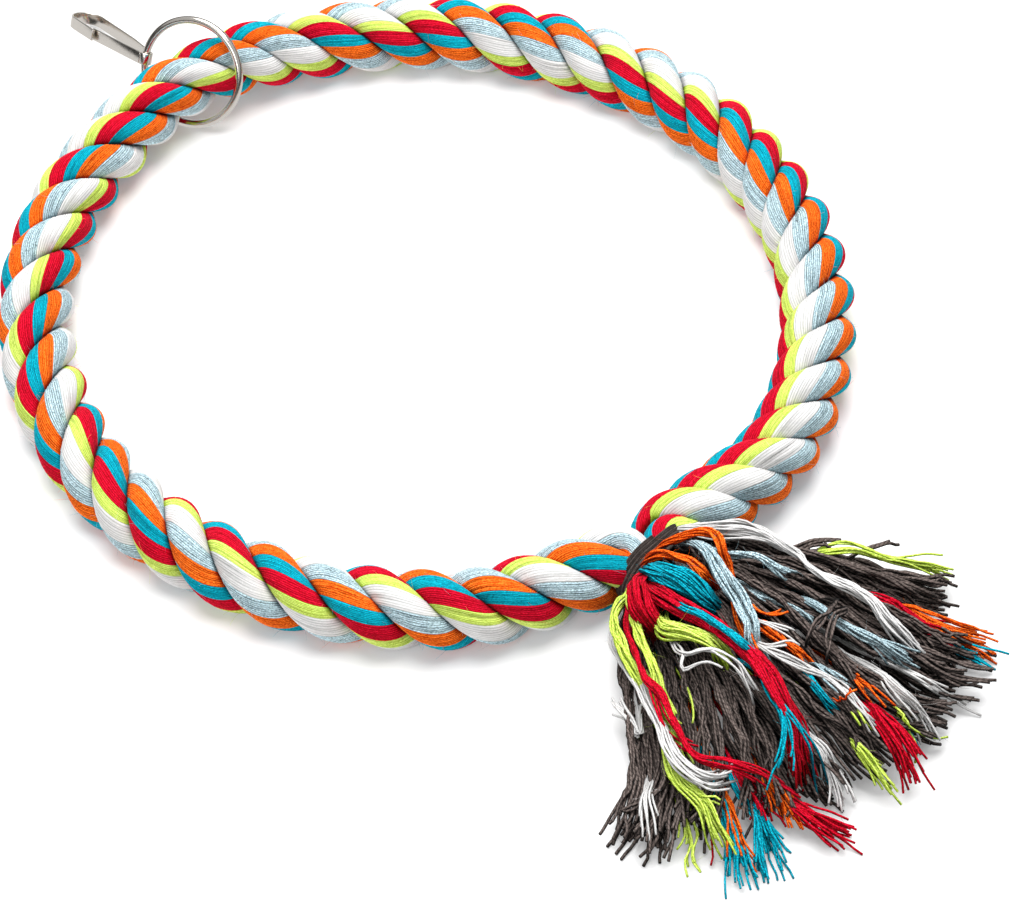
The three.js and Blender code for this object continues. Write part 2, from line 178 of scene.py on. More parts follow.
class Nodes:
    """A node tree that is filled node by node."""

    def __init__(self, tree: NodeTree) -> None:
        """Takes up a tree.

        Args:
            tree: The tree of a material or a world.
        """
        self.tree = tree

    def feed(self, node: Node, given: dict[str | int, object]) -> Node:
        """Sets or links a node's inputs.

        Args:
            node: The node.
            given: A constant, or another node's output, for each input.

        Returns:
            The node.
        """
        for key, value in given.items():
            if isinstance(value, NodeSocket):
                self.tree.links.new(value, node.inputs[key])
            else:
                node.inputs[key].default_value = value
        return node

    def add(self, kind: str, given: dict[str | int, object] | None = None, **settings: object) -> Node:
        """Adds a shader node.

        Args:
            kind: The node's type.
            given: A constant, or another node's output, for each input.
            **settings: The node's own settings.

        Returns:
            The new node.
        """
        node = self.tree.nodes.new(f"ShaderNode{kind}")
        for name, value in settings.items():
            setattr(node, name, value)
        return self.feed(node, given or {})

    def calc(self, kind: str, first: object, second: object = 0.0) -> NodeSocket:
        """Adds one calculation.

        Args:
            kind: The operation.
            first: A number or another node's output.
            second: A number or another node's output.

        Returns:
            The result's socket.
        """
        return self.add("Math", {0: first, 1: second}, operation=kind).outputs[0]


def new_material(name: str) -> tuple[Material, Nodes, Node]:
    """Starts a material.

    Args:
        name: Its name.

    Returns:
        The material, its nodes and its surface shader.
    """
    made = bpy.data.materials.new(name)
    made.use_nodes = True
    return made, Nodes(made.node_tree), made.node_tree.nodes["Principled BSDF"]


class Noise(NamedTuple):
    """Noise on a yarn: how often it changes along and across it, and its detail."""

    along: float
    across: float
    detail: float


@dataclass(frozen=True)
class CottonFinish:
    """Matt cotton yarn: uneven dye, fibre streaks, pale flecks, ply twist, and painted shade between neighbours, in
    ply grooves and from the mesh's shade layer.
    """

    slot: Cotton
    code: str
    fleck_code: str
    flecks: float = 0.12
    uneven: float = 0.16
    streaks: float = 0.6
    valley_shade: float = 0.8
    crease: float = 0.88
    fuzz: float = 0.02
    ply_groove_shade: float = 0.35
    grain: float = 1.4
    deepen: float = 0.7
    valley_shade_power: float = 3.0
    valley_shade_noise: Noise = Noise(1.7, 3.1, 2.0)
    dye_noise: Noise = Noise(1.3, 7.3, 3.0)
    streak_noise: Noise = Noise(5.5, 1.6, 5.0)
    grain_noise: Noise = Noise(22.0, 5.0, 2.0)
    fleck_noise: Noise = Noise(11.0, 6.0, 4.0)
    fleck_range: Pair = (0.56, 0.68)
    ply_turns: Pair = (4.5, 4.0)
    ply_power: float = 2.0
    ply_height: float = 0.35
    least_tone: float = 0.1
    tone_power: float = 0.85
    bump: Pair = (0.5, 0.3 * MM)
    roughness: float = 0.9
    specular: float = 0.06
    fuzz_roughness: float = 0.5

    def material(self) -> Material:
        """Makes the yarn material.

        Returns:
            The material, placed by the yarn texture map.
        """
        made, nodes, shader = new_material(self.slot.value)
        calc = nodes.calc
        place = nodes.add("UVMap", uv_map=YARN_UV)
        parts = nodes.add("SeparateXYZ", {0: place.outputs[0]})
        along, across = parts.outputs[0], parts.outputs[1]

        def noise(kind: Noise, side: NodeSocket) -> NodeSocket:
            """Adds noise and gives its strength, about 0 to 1."""
            spot = {0: calc("MULTIPLY", along, kind.along), 1: calc("MULTIPLY", side, kind.across)}
            spread = {"Vector": nodes.add("CombineXYZ", spot).outputs[0], "Scale": 1.0, "Detail": kind.detail}
            return nodes.add("TexNoise", spread).outputs["Fac"]

        def swing(strength: NodeSocket, size: float) -> NodeSocket:
            """Turns a noise's strength into a change about zero."""
            return calc("MULTIPLY", calc("SUBTRACT", strength, 0.5), 2.0 * size)

        # Painted shade between neighbouring yarns: darkest at a yarn's edges, by an uneven amount along them.
        off = calc("MULTIPLY", calc("ABSOLUTE", calc("SUBTRACT", calc("FRACT", across), 0.5)), 2.0)
        depth = calc("MULTIPLY", noise(self.valley_shade_noise, calc("ROUND", across)), 2.0 * self.valley_shade)
        keep = calc("SUBTRACT", 1.0, calc("MULTIPLY", calc("POWER", off, self.valley_shade_power), depth))
        # Painted shade from the mesh's shade layer, scaled by this finish.
        painted_shade = nodes.add("Attribute", attribute_name=SHADE_LAYER).outputs["Fac"]
        keep = calc("MULTIPLY", keep, calc("SUBTRACT", 1.0, calc("MULTIPLY", painted_shade, self.crease)))
        # Ply twist: its grooves take painted shade, and it also lifts the bump below.
        turn = calc("ADD", calc("MULTIPLY", along, self.ply_turns[0]), calc("MULTIPLY", across, self.ply_turns[1]))
        ply = calc("ABSOLUTE", calc("SINE", calc("MULTIPLY", turn, math.pi)))
        ply_shade = calc("MULTIPLY", calc("POWER", calc("SUBTRACT", 1.0, ply), self.ply_power), self.ply_groove_shade)
        keep = calc("MULTIPLY", keep, calc("SUBTRACT", 1.0, ply_shade))

        streak = noise(self.streak_noise, across)
        dye = swing(noise(self.dye_noise, calc("FLOOR", across)), self.uneven)
        speck = swing(noise(self.grain_noise, across), self.grain)
        # Tone: uneven dye, fibre streaks and grain, times all the painted shade above.
        tone = calc("ADD", calc("ADD", calc("ADD", dye, swing(streak, self.streaks)), speck), 1.0)
        tone = calc("MULTIPLY", calc("MAXIMUM", tone, self.least_tone), keep)

        least, most = self.fleck_range
        spots = {"Value": noise(self.fleck_noise, across), "From Min": least, "From Max": most, "To Max": self.flecks}
        mixed = {0: nodes.add("MapRange", spots).outputs[0]}
        mixed |= {6: (*linear(self.code), 1.0), 7: (*linear(self.fleck_code), 1.0)}
        dyed = nodes.add("Mix", mixed, data_type="RGBA").outputs[2]
        # Where the tone is darker, from painted shade as well as from uneven dye, the colour is made richer: painted
        # colour of cotton in shade.
        low = calc("MAXIMUM", calc("SUBTRACT", 1.0, tone), 0.0)
        richer = calc("ADD", calc("MULTIPLY", low, self.deepen), 1.0)
        rich = nodes.add("Gamma", {"Color": dyed, "Gamma": richer}).outputs["Color"]
        toned = {0: rich, "Scale": calc("POWER", tone, self.tone_power)}
        height = calc("ADD", calc("MULTIPLY", ply, self.ply_height), streak)
        bump = {"Strength": self.bump[0], "Distance": self.bump[1], "Height": height}
        surface = {
            "Base Color": nodes.add("VectorMath", toned, operation="SCALE").outputs[0],
            "Normal": nodes.add("Bump", bump).outputs[0],
            "Roughness": self.roughness,
            "Specular IOR Level": self.specular,
            "Sheen Weight": self.fuzz,
            "Sheen Roughness": self.fuzz_roughness,
        }
        nodes.feed(shader, surface)
        return made


@dataclass(frozen=True)
class NickelFinish:
    """Bright nickel plate with faint handling marks."""

    slot: str = "nickel"
    colour: Triple = (0.72, 0.68, 0.63)
    roughness: float = 0.17
    spread: Pair = (0.7, 1.5)
    mark_scale: float = 420.0
    mark_detail: float = 5.0
    bump: Pair = (0.06, 0.1 * MM)

    def material(self) -> Material:
        """Makes the metal material.

        Returns:
            The material, placed by object coordinates.
        """
        made, nodes, shader = new_material(self.slot)
        place = nodes.add("TexCoord").outputs["Object"]
        marks = {"Vector": place, "Scale": self.mark_scale, "Detail": self.mark_detail}
        mark = nodes.add("TexNoise", marks).outputs["Fac"]
        least, most = (self.roughness * share for share in self.spread)
        rough = nodes.add("MapRange", {"Value": mark, "To Min": least, "To Max": most}).outputs[0]
        bump = {"Strength": self.bump[0], "Distance": self.bump[1], "Height": mark}
        normal = nodes.add("Bump", bump).outputs[0]
        colour = (*self.colour, 1.0)
        nodes.feed(shader, {"Base Color": colour, "Metallic": 1.0, "Roughness": rough, "Normal": normal})
        return made


FINISHES = (
    CottonFinish(RED, "dc1236", "ec5870"),
    CottonFinish(TEAL, "08b4ca", "6cd4e4"),
    CottonFinish(ORANGE, "ff8129", "fdb06c", deepen=1.2),
    CottonFinish(GREY, "c2dae2", "eef8fa", flecks=0.6, streaks=0.9, valley_shade=1.0, grain=1.8),
    CottonFinish(
        WHITE, "e5e4e3", "efefed", uneven=0.05, streaks=0.2, valley_shade=0.5, crease=0.7, ply_groove_shade=0.15, grain=0.25
    ),
    CottonFinish(LIME, "e6fb84", "f4fcb0", streaks=0.4, grain=0.8, deepen=1.3),
    CottonFinish(
        CHARCOAL, "796c67", "cfc1b8", flecks=0.4, uneven=0.9, streaks=0.9, grain=0.7,
        crease=0.99, fuzz=0.03, ply_groove_shade=0.85, deepen=0.0
    ),
)


class Sweep:
    """Tubes gathered into one mesh, with a texture map that runs along and across their yarns."""

    def __init__(self) -> None:
        """Starts with no tube."""
        self.points: list[np.ndarray] = []
        self.faces: list[list[int]] = []
        self.places: list[np.ndarray] = []
        self.shades: list[np.ndarray] = []
        self.count = 0

    def add(self, rings: np.ndarray, along: np.ndarray, across: np.ndarray, shade: np.ndarray | None = None) -> None:
        """Adds one closed tube.

        Args:
            rings: Stations by sides by three, the outline at each station.
            along: Texture place of each station.
            across: Texture place of each side, with one more for the seam.
            shade: Painted shade at each point, 0 to 1, or nothing for an open tube.
        """
        stations, sides = rings.shape[:2]
        row = np.arange(stations - 1)[:, None] * sides
        side = np.arange(sides)[None, :]
        after = (side + 1) % sides
        quads = np.stack([row + side, row + after, row + sides + after, row + sides + side], axis=-1)
        low = np.broadcast_to(across[None, :-1], quads.shape[:2])
        high = np.broadcast_to(across[None, 1:], quads.shape[:2])
        here = np.broadcast_to(along[:-1, None], quads.shape[:2])
        there = np.broadcast_to(along[1:, None], quads.shape[:2])
        pairs = ((here, low), (here, high), (there, high), (there, low))
        places = np.stack([np.stack(pair, -1) for pair in pairs], axis=2).reshape(-1, 4, 2)
        quads = quads.reshape(-1, 4)
        first, last = list(range(sides)), list(range((stations - 1) * sides, stations * sides))
        flat = rings.reshape(-1, 3)
        corner = flat[quads]
        spans = np.cross(corner[:, 1], corner[:, 2]) + np.cross(corner[:, 2], corner[:, 3])
        if np.sum(corner[:, 0] * spans) > 0:
            first.reverse()
        else:
            last.reverse()
            quads, places = quads[:, ::-1], places[:, ::-1]
        self.faces += (quads + self.count).tolist()
        self.faces += [[i + self.count for i in first], [i + self.count for i in last]]
        self.places += [places.reshape(-1, 2), np.full((2 * sides, 2), across[0] + 0.5)]
        self.shades.append(np.zeros(len(flat)) if shade is None else shade.ravel())
        self.points.append(flat)
        self.count += len(flat)

    def to_object(self, name: str, material: Material) -> Object:
        """Turns the tubes into an object.

        Args:
            name: The piece's name.
            material: What it is made of.

        Returns:
            The new object, in place.
        """
        mesh = bpy.data.meshes.new(name)
        mesh.from_pydata(np.concatenate(self.points).tolist(), [], self.faces)
        layer = mesh.uv_layers.new(name=YARN_UV)
        layer.data.foreach_set("uv", np.concatenate(self.places).astype(np.float32).ravel())
        # Each point's painted shade, read by the cotton material.
        crease = mesh.attributes.new(SHADE_LAYER, "FLOAT", "POINT")
        crease.data.foreach_set("value", np.concatenate(self.shades).astype(np.float32))
        mesh.polygons.foreach_set("use_smooth", [True] * len(mesh.polygons))
        mesh.materials.append(material)
        mesh.update()
        made = bpy.data.objects.new(name, mesh)
        bpy.context.scene.collection.objects.link(made)
        return made


def frames(line: np.ndarray) -> tuple[np.ndarray, np.ndarray, np.ndarray]:
    """Carries a pair of cross directions along a line without twist.

    Args:
        line: Points of the line.

    Returns:
        The directions along, and the two across, at each point.
    """
    along = unit(np.gradient(line, axis=0))
    first = np.empty_like(along)
    current = UP if abs(along[0, 2]) < STEEP else np.array([1.0, 0.0, 0.0])
    for k, direction in enumerate(along):
        current = current - direction * (current @ direction)
        current = current / np.linalg.norm(current)
        first[k] = current
    return along, first, np.cross(along, first)


def outline(line: np.ndarray, sides: int) -> tuple[np.ndarray, np.ndarray]:
    """Finds the directions round a line.

    Args:
        line: Points of the line.
        sides: How many directions to find at each.

    Returns:
        The direction along at each point, and the outward directions round it.
    """
    along, first, second = frames(line)
    turn = np.linspace(0.0, FULL_TURN, sides, endpoint=False)[None, :, None]
    return along, np.cos(turn) * first[:, None, :] + np.sin(turn) * second[:, None, :]


def lengths(line: np.ndarray) -> np.ndarray:
    """Measures a line.

    Args:
        line: Points of the line.

    Returns:
        How far along the line each point lies.
    """
    return np.concatenate([[0.0], np.cumsum(np.linalg.norm(np.diff(line, axis=0), axis=1))])


def between(table: np.ndarray, rows: np.ndarray, at: np.ndarray) -> np.ndarray:
    """Reads a table between its rows.

    Args:
        table: Rows of values.
        rows: Where each row stands.
        at: Where to read.

    Returns:
        One row for each place read.
    """
    return np.stack([np.interp(at, rows, column) for column in table.T], axis=1)


def spline(a: np.ndarray, b: np.ndarray, c: np.ndarray, d: np.ndarray, t: np.ndarray) -> np.ndarray:
    """Runs a smooth curve from the second of four values to the third.

    Args:
        a: The value before.
        b: The curve's start.
        c: The curve's end.
        d: The value after.
        t: Shares of the way, 0 to 1.

    Returns:
        The curve there.
    """
    return 0.5 * (2 * b + (c - a) * t + (2 * a - 5 * b + 4 * c - d) * t**2 + (3 * b - a - 3 * c + d) * t**3)


@dataclass(frozen=True)
class Fuzz:
    """Stray cotton fibres that lift off the yarns."""

    count: int
    length: Pair = (1.5 * MM, 4.5 * MM)
    radius: float = 0.055 * MM
    thinning: float = 0.6
    lift: Pair = (0.1, 0.7)
    stray: float = 0.35
    curl: float = 0.4
    spans: int = 4
    sides: int = 3

    def add(
        self, sweep: Sweep, starts: np.ndarray, outs: np.ndarray, ways: np.ndarray, rng: Generator
    ) -> None:
        """Adds one fibre at each start.

        Args:
            sweep: The tubes that the fibres join.
            starts: Where the fibres leave their yarns.
            outs: Directions away from the yarns.
            ways: Directions along the yarns.
            rng: Source of the fibres' unevenness.
        """
        share = np.linspace(0.0, 1.0, self.spans + 1)[:, None]
        across = np.linspace(*ROUND_YARN, self.sides + 1)
        thin = self.radius * (1.0 - self.thinning * share)[:, :, None]
        for number, (start, out, way) in enumerate(zip(starts, outs, ways)):
            size = rng.uniform(*self.length)
            lean = way * rng.choice((-1.0, 1.0)) + out * rng.uniform(*self.lift)
            lean = unit(lean + rng.normal(0.0, self.stray, 3))
            line = start + size * (share * lean + share**2 * rng.normal(0.0, self.curl, 3))
            line[:, 2] = np.maximum(line[:, 2], FLOOR + self.radius)
            _, ring = outline(line, self.sides)
            sweep.add(line[:, None, :] + thin * ring, number + share[:, 0] * size / YARN_UNIT, number + across)


def resample(points: np.ndarray, count: int) -> np.ndarray:
    """Runs an even, smooth line through points.

    Args:
        points: Points to pass through, each with any further values after its place.
        count: How many points the line has.

    Returns:
        The line.
    """
    ends = np.concatenate([[2 * points[0] - points[1]], points, [2 * points[-1] - points[-2]]])
    share = np.linspace(0.0, 1.0, SPLINE_STEPS, endpoint=False)[:, None]
    runs = [spline(*four, share) for four in zip(ends, ends[1:], ends[2:], ends[3:])]
    dense = np.concatenate([*runs, points[-1:]])
    gone = lengths(dense[:, :3])
    return between(dense, gone, np.linspace(0.0, gone[-1], count))


def through(values: tuple[float, ...], every: float, at: np.ndarray) -> np.ndarray:
    """Runs a smooth curve through evenly spaced values.

    Args:
        values: The values, the first at 0.
        every: Their spacing.
        at: Places to read the curve at.

    Returns:
        The curve there, running on straight past its ends.
    """
    held = np.concatenate(
        [[2 * values[0] - values[1]], values, [2 * values[-1] - values[-2], 3 * values[-1] - 2 * values[-2]]]
    )
    place = np.clip(at / every + 1.0, 1.0, len(held) - 2.001)
    k = place.astype(int)
    return spline(held[k - 1], held[k], held[k + 1], held[k + 2], place - k)


@dataclass(frozen=True)
class Stations:
    """The rope's centre line, one row a station."""

    along: np.ndarray
    point: np.ndarray
    out: np.ndarray
    radius: np.ndarray
    twist: np.ndarray


@dataclass(frozen=True)
class RopePath:
    """Route of the rope from one bound end round the loop to the other."""

    ring_at: Triple
    radius: float = 16.0 * MM
    loop: float = 161.7 * MM
    oval: float = 1.4 * MM
    skew: float = 1.5 * MM
    dent: float = 6.0 * MM
    dent_flat: float = math.radians(9.0)
    dent_reach: float = math.radians(20.0)
    neck_radius: float = 12.5 * MM
    neck_half: float = 5.0 * MM
    neck_bend: float = 9.0 * MM
    neck_straight: float = 4.0 * MM
    neck_taper: float = 18.0 * MM
    height: float = 14.2 * MM
    ring_place: float = math.radians(185.2)
    lift_reach: float = 75.0 * MM
    ring_squeeze: float = 0.108
    squeeze_reach: float = 30.0 * MM
    twist_every: float = 70.0 * MM
    twist: tuple[float, ...] = (
        -218, 224, 621, 1001, 1387, 1751, 2114, 2478, 2876, 3253, 3614, 3985, 4368, 4746, 5160, 5561,
    )

    def loop_radius(self, angle: np.ndarray) -> np.ndarray:
        """Gives the loop's radius.

        Args:
            angle: Angles round the loop from the tassel.

        Returns:
            The distance of the rope's centre from the loop's.
        """
        from_tassel = np.minimum(angle, FULL_TURN - angle)
        away = smooth((from_tassel - self.dent_flat) / self.dent_reach)
        oval = self.oval * np.cos(2 * angle) + self.skew * np.sin(2 * angle) * away
        return self.loop + oval - self.dent * (1 - away)

    @property
    def join_radius(self) -> float:
        """Radius of the loop where the neck leaves it."""
        return float(self.loop_radius(np.array(0.0)))

    @property
    def join_angle(self) -> float:
        """Angle from the tassel at which the rope leaves the loop for the neck."""
        return math.asin((self.neck_half + self.neck_bend) / (self.join_radius + self.neck_bend))

    @property
    def centre(self) -> np.ndarray:
        """Middle of the loop, at the height of the rope's centre."""
        reach = float(self.loop_radius(np.array(self.ring_place)))
        x = self.ring_at[0] - reach * math.sin(self.ring_place)
        y = self.ring_at[1] + reach * math.cos(self.ring_place)
        return np.array([x, y, self.height])

    @property
    def neck_end(self) -> float:
        """Where the bound ends stop, along Y."""
        reach = (self.join_radius + self.neck_bend) * math.cos(self.join_angle) + self.neck_straight
        return float(self.centre[1] - reach)

    def stations(self, count: int) -> Stations:
        """Walks the rope.

        Args:
            count: How many stations to make.

        Returns:
            The stations, evenly spaced.
        """
        join = self.join_angle
        loop_length = self.loop * 2 * (math.pi - join)
        end_length = self.neck_straight + self.neck_bend * (math.pi / 2 - join)
        rope_length = loop_length + 2 * end_length
        length = np.linspace(0.0, rope_length, count)
        from_end = np.minimum(length, rope_length - length)
        mirrored = np.where(length > rope_length / 2, -1.0, 1.0)
        turned = np.maximum(from_end - self.neck_straight, 0.0) / self.neck_bend
        flat = np.zeros(count)
        neck_x = mirrored * (self.neck_half + self.neck_bend * (1 - np.cos(turned)))
        neck_y = self.neck_end - self.centre[1] + np.minimum(from_end, self.neck_straight)
        neck = np.stack([neck_x, neck_y + self.neck_bend * np.sin(turned), flat], axis=1)
        neck_way = np.stack([np.sin(turned), mirrored * np.cos(turned), flat], axis=1)
        angle = join + (length - end_length) / loop_length * 2 * (math.pi - join)
        reach = self.loop_radius(angle)
        away = np.abs(angle - self.ring_place) * self.loop
        lift = (self.ring_at[2] - self.height) * smooth(1 - away / self.lift_reach)
        ring = np.stack([reach * np.sin(angle), -reach * np.cos(angle), lift], axis=1)
        ring_way = np.stack([np.cos(angle), np.sin(angle), flat], axis=1)
        in_neck = (from_end < end_length)[:, None]
        along = length - end_length + self.join_radius * join
        taper = smooth((from_end - self.neck_straight) / self.neck_taper)
        squeeze = 1 - self.ring_squeeze * np.exp(-((away / self.squeeze_reach) ** 2))
        return Stations(
            along=along,
            point=np.where(in_neck, neck, ring) + self.centre,
            out=np.cross(np.where(in_neck, neck_way, ring_way), UP),
            radius=(self.neck_radius + (self.radius - self.neck_radius) * taper) * squeeze,
            twist=np.radians(through(self.twist, self.twist_every, along)),
        )


@dataclass(frozen=True)
class Drift:
    """How one strand's colour bands wander round it along the rope."""

    node: str
    crest: float
    bands: tuple[float, ...]


@dataclass(frozen=True)
class Strand:
    """One strand's centre line, with the directions away from the rope's centre and across at each station."""

    node: str
    line: np.ndarray
    radial: np.ndarray
    aside: np.ndarray


@dataclass
class Rope:
    """Three strands, each with six bands of coloured yarn laid side by side over its core."""

    path: RopePath
    stations: int = 860
    strand_share: float = 0.455
    helix_share: float = 0.545
    core_share: float = 0.5
    band_width: tuple[float, ...] = (62.0, 52.0, 60.0, 66.0, 76.0, 44.0)
    yarns: int = 8
    yarn_depth: float = 0.26 * MM
    # Painted shade on a strand's sides in the creases between strands: it starts at the first angle from the crest
    # and is full after the second more.
    crease: Pair = (math.radians(76.0), math.radians(26.0))
    yarn_stray: float = math.radians(1.3)
    yarn_rough: float = 0.05 * MM
    rough_every: int = 12
    band_step: float = 60.0
    turns_drift: float = 12.0
    texture_starts: int = 400
    seed: int = 7
    fuzz: Fuzz = Fuzz(170)
    fuzz_clear: float = 95.0 * MM
    strands: tuple[Drift, ...] = (
        Drift("rope_strand_3", -60.0, (
            4.9, 4.94, 3.4, 1.66, -1.11, -4.17, -7.35, -10.0, -12.21, -14.3, -16.26, -17.25, -18.39, -19.08, -19.3,
            -16.7,
        )),
        Drift("rope_strand_2", -180.0, (
            5.9, 5.06, 3.57, 2.15, 0.23, -2.44, -5.32, -7.91, -10.11, -12.21, -14.24, -15.32, -16.57, -17.32, -16.5,
            -13.6,
        )),
        Drift("rope_strand_1", -300.0, (
            4.25, 4.93, 3.43, 1.64, -1.2, -4.35, -7.64, -10.59, -13.19, -15.65, -17.85, -19.06, -20.45, -21.53,
            -21.72, -19.16,
        )),
    )
    made: list[tuple[Object, Cotton, str]] = field(default_factory=list)

    def crest_band(self, strand: Drift, along: np.ndarray, crest: np.ndarray) -> np.ndarray:
        """Finds which band lies on the strand's crest.

        Args:
            strand: The strand and its drift.
            along: Places along the rope.
            crest: Angle of the strand's crest there.

        Returns:
            The band's number, running on past its whole turns.
        """
        drift = through(strand.bands, self.path.twist_every, along)
        return drift - self.turns_drift * np.degrees(crest) / 360.0

    def build(self, materials: Cottons) -> None:
        """Lays the yarn bands.

        Args:
            materials: The cotton materials by colour.
        """
        rope = self.path.stations(self.stations)
        rng = np.random.default_rng(self.seed)
        for drift in self.strands:
            crest = rope.twist + math.radians(drift.crest)
            radial = np.cos(crest)[:, None] * UP + np.sin(crest)[:, None] * rope.out
            line = rope.point + (self.helix_share * rope.radius)[:, None] * radial
            way = unit(np.gradient(line, axis=0))
            radial = unit(radial - way * np.sum(radial * way, axis=1, keepdims=True))
            strand = Strand(drift.node, line, radial, np.cross(way, radial))
            on_crest = self.crest_band(drift, rope.along, crest) * self.band_step + 0.5 * self.band_width[0]
            place = 0.0
            for colour, width in zip(BAND_ORDER, self.band_width):
                middle = np.radians(on_crest - place - 0.5 * width)
                made = self.band(strand, colour, rope, middle, math.radians(0.5 * width), materials[colour], rng)
                self.made.append((made, colour, drift.node))
                place += width

    def band(
        self,
        strand: Strand,
        colour: Cotton,
        rope: Stations,
        middle: np.ndarray,
        half: float,
        material: Material,
        rng: Generator,
    ) -> Object:
        """Sweeps one band of yarns along a strand.

        Args:
            strand: The strand.
            colour: The band's colour.
            rope: The rope's stations.
            middle: Angle of the band's middle round the strand.
            half: Half the angle the band covers.
            material: The band's material.
            rng: Source of the yarns' unevenness.

        Returns:
            The band's object.
        """
        corners = 2 * self.yarns + 1
        spread = np.linspace(-half, half, corners)
        dip = np.where(np.arange(corners) % 2 == 0, self.yarn_depth, 0.0)
        rows = np.arange(rope.along.size // self.rough_every + 2)
        at = np.linspace(0, rows[-1], rope.along.size)
        uneven = between(rng.normal(0.0, self.yarn_rough, (rows.size, corners)), rows, at)
        stray = between(rng.normal(0.0, self.yarn_stray, (rows.size, corners)), rows, at)
        stray[:, [0, -1]] = 0.0
        outer = (self.strand_share * rope.radius)[:, None]
        core = outer * self.core_share
        reach = np.concatenate([outer - dip + uneven, core, core], axis=1)
        angle = middle[:, None] + np.concatenate([spread, [spread[-1], spread[0]]])[None, :]
        angle[:, :corners] += stray
        rings = (
            strand.line[:, None, :]
            + (reach * np.cos(angle))[:, :, None] * strand.radial[:, None, :]
            + (reach * np.sin(angle))[:, :, None] * strand.aside[:, None, :]
        )
        rings[:, :, 2] = np.maximum(rings[:, :, 2], FLOOR)
        across = np.concatenate([np.arange(corners) / 2.0, [self.yarns + 0.5, self.yarns + 0.5, 0.0]])
        offset = float(rng.integers(0, self.texture_starts))
        # Painted shade on the sides of each strand that turn into the creases between strands.
        facing = np.abs((angle + math.pi) % FULL_TURN - math.pi)
        painted_shade = smooth((facing - self.crease[0]) / self.crease[1])
        sweep = Sweep()
        sweep.add(rings, rope.along / YARN_UNIT, across + offset, painted_shade)
        clear = np.abs(rope.along - self.path.ring_place * self.path.loop) > self.fuzz_clear
        loose = rng.spawn(1)[0]
        spots = np.argwhere(clear[:, None] & (painted_shade[:, :corners] == 0.0))
        station, corner = spots[loose.choice(len(spots), self.fuzz.count, replace=False)].T
        starts = rings[station, corner]
        ways = np.gradient(strand.line, axis=0)[station]
        self.fuzz.add(sweep, starts, unit(starts - strand.line[station]), unit(ways), loose)
        return sweep.to_object(f"{strand.node}_{colour.name.lower()}", material)

    def dress(self) -> None:
        """Ties the bands to the rope's body and lets them stand for its strands."""
        for piece, colour, node in self.made:
            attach(piece, Body.ROPE.value)
            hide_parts(node)


@dataclass
class Binding:
    """Charcoal cord wound round both rope ends."""

    path: RopePath
    cord: float = 0.98 * MM
    turns: int = 5
    pitch: float = 1.75 * MM
    past_end: float = 2.4 * MM
    tilt: float = 0.2
    spare: float = 0.5 * MM
    steps: int = 72
    sides: int = 10
    # Painted shade on the cord: a share everywhere, and a further share where it turns from facing outwards.
    shade: Pair = (0.66, 0.34)
    texture_width: float = 3.0
    piece: Object | None = None

    def build(self, materials: Cottons) -> None:
        """Winds the cord.

        Args:
            materials: The cotton materials by colour.
        """
        reach = self.path.neck_radius + self.spare + self.cord
        half = self.path.neck_half
        flat, rounded = 2 * half, math.pi * reach
        lap = 2 * (flat + rounded)
        total = self.turns * self.steps
        points = []
        for k in range(total + 1):
            gone = (lap * k / self.steps + flat / 2) % lap
            if gone < flat:
                x, z = half - gone, reach
            elif gone < flat + rounded:
                angle = math.pi / 2 + (gone - flat) / reach
                x, z = -half + reach * math.cos(angle), reach * math.sin(angle)
            elif gone < 2 * flat + rounded:
                x, z = -half + gone - flat - rounded, -reach
            else:
                angle = -math.pi / 2 + (gone - 2 * flat - rounded) / reach
                x, z = half + reach * math.cos(angle), reach * math.sin(angle)
            y = self.path.neck_end - self.past_end + self.pitch * self.turns * (1 - k / total) + self.tilt * x
            points.append((self.path.centre[0] + x, y, self.path.centre[2] + z))
        line = np.array(points)
        line[:, 2] = np.maximum(line[:, 2], self.cord + FLOOR)
        _, ring = outline(line, self.sides)
        out = line - self.path.centre
        out[:, 1] = 0.0
        # Painted shade: the cord is darker where it turns from facing outwards.
        inside = 1.0 - np.clip(np.einsum("ijk,ik->ij", ring, unit(out)), 0.0, 1.0)
        dark = self.shade[0] + self.shade[1] * inside
        across = np.linspace(0.0, self.texture_width, self.sides + 1)
        sweep = Sweep()
        sweep.add(line[:, None, :] + self.cord * ring, lengths(line) / YARN_UNIT, across, dark)
        self.piece = sweep.to_object("binding_winding", materials[CHARCOAL])

    def dress(self) -> None:
        """Ties the winding to the rope's body."""
        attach(self.piece, Body.ROPE.value)
        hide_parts("binding_cord")


@dataclass(frozen=True)
class Bundle:
    """One tuft of yarns: its guide leads from the binding to the tips, each point with the tuft's radius, in mm."""

    name: str
    colour: Cotton
    yarns: int
    guide: tuple[Quad, ...]
    node: str = ""


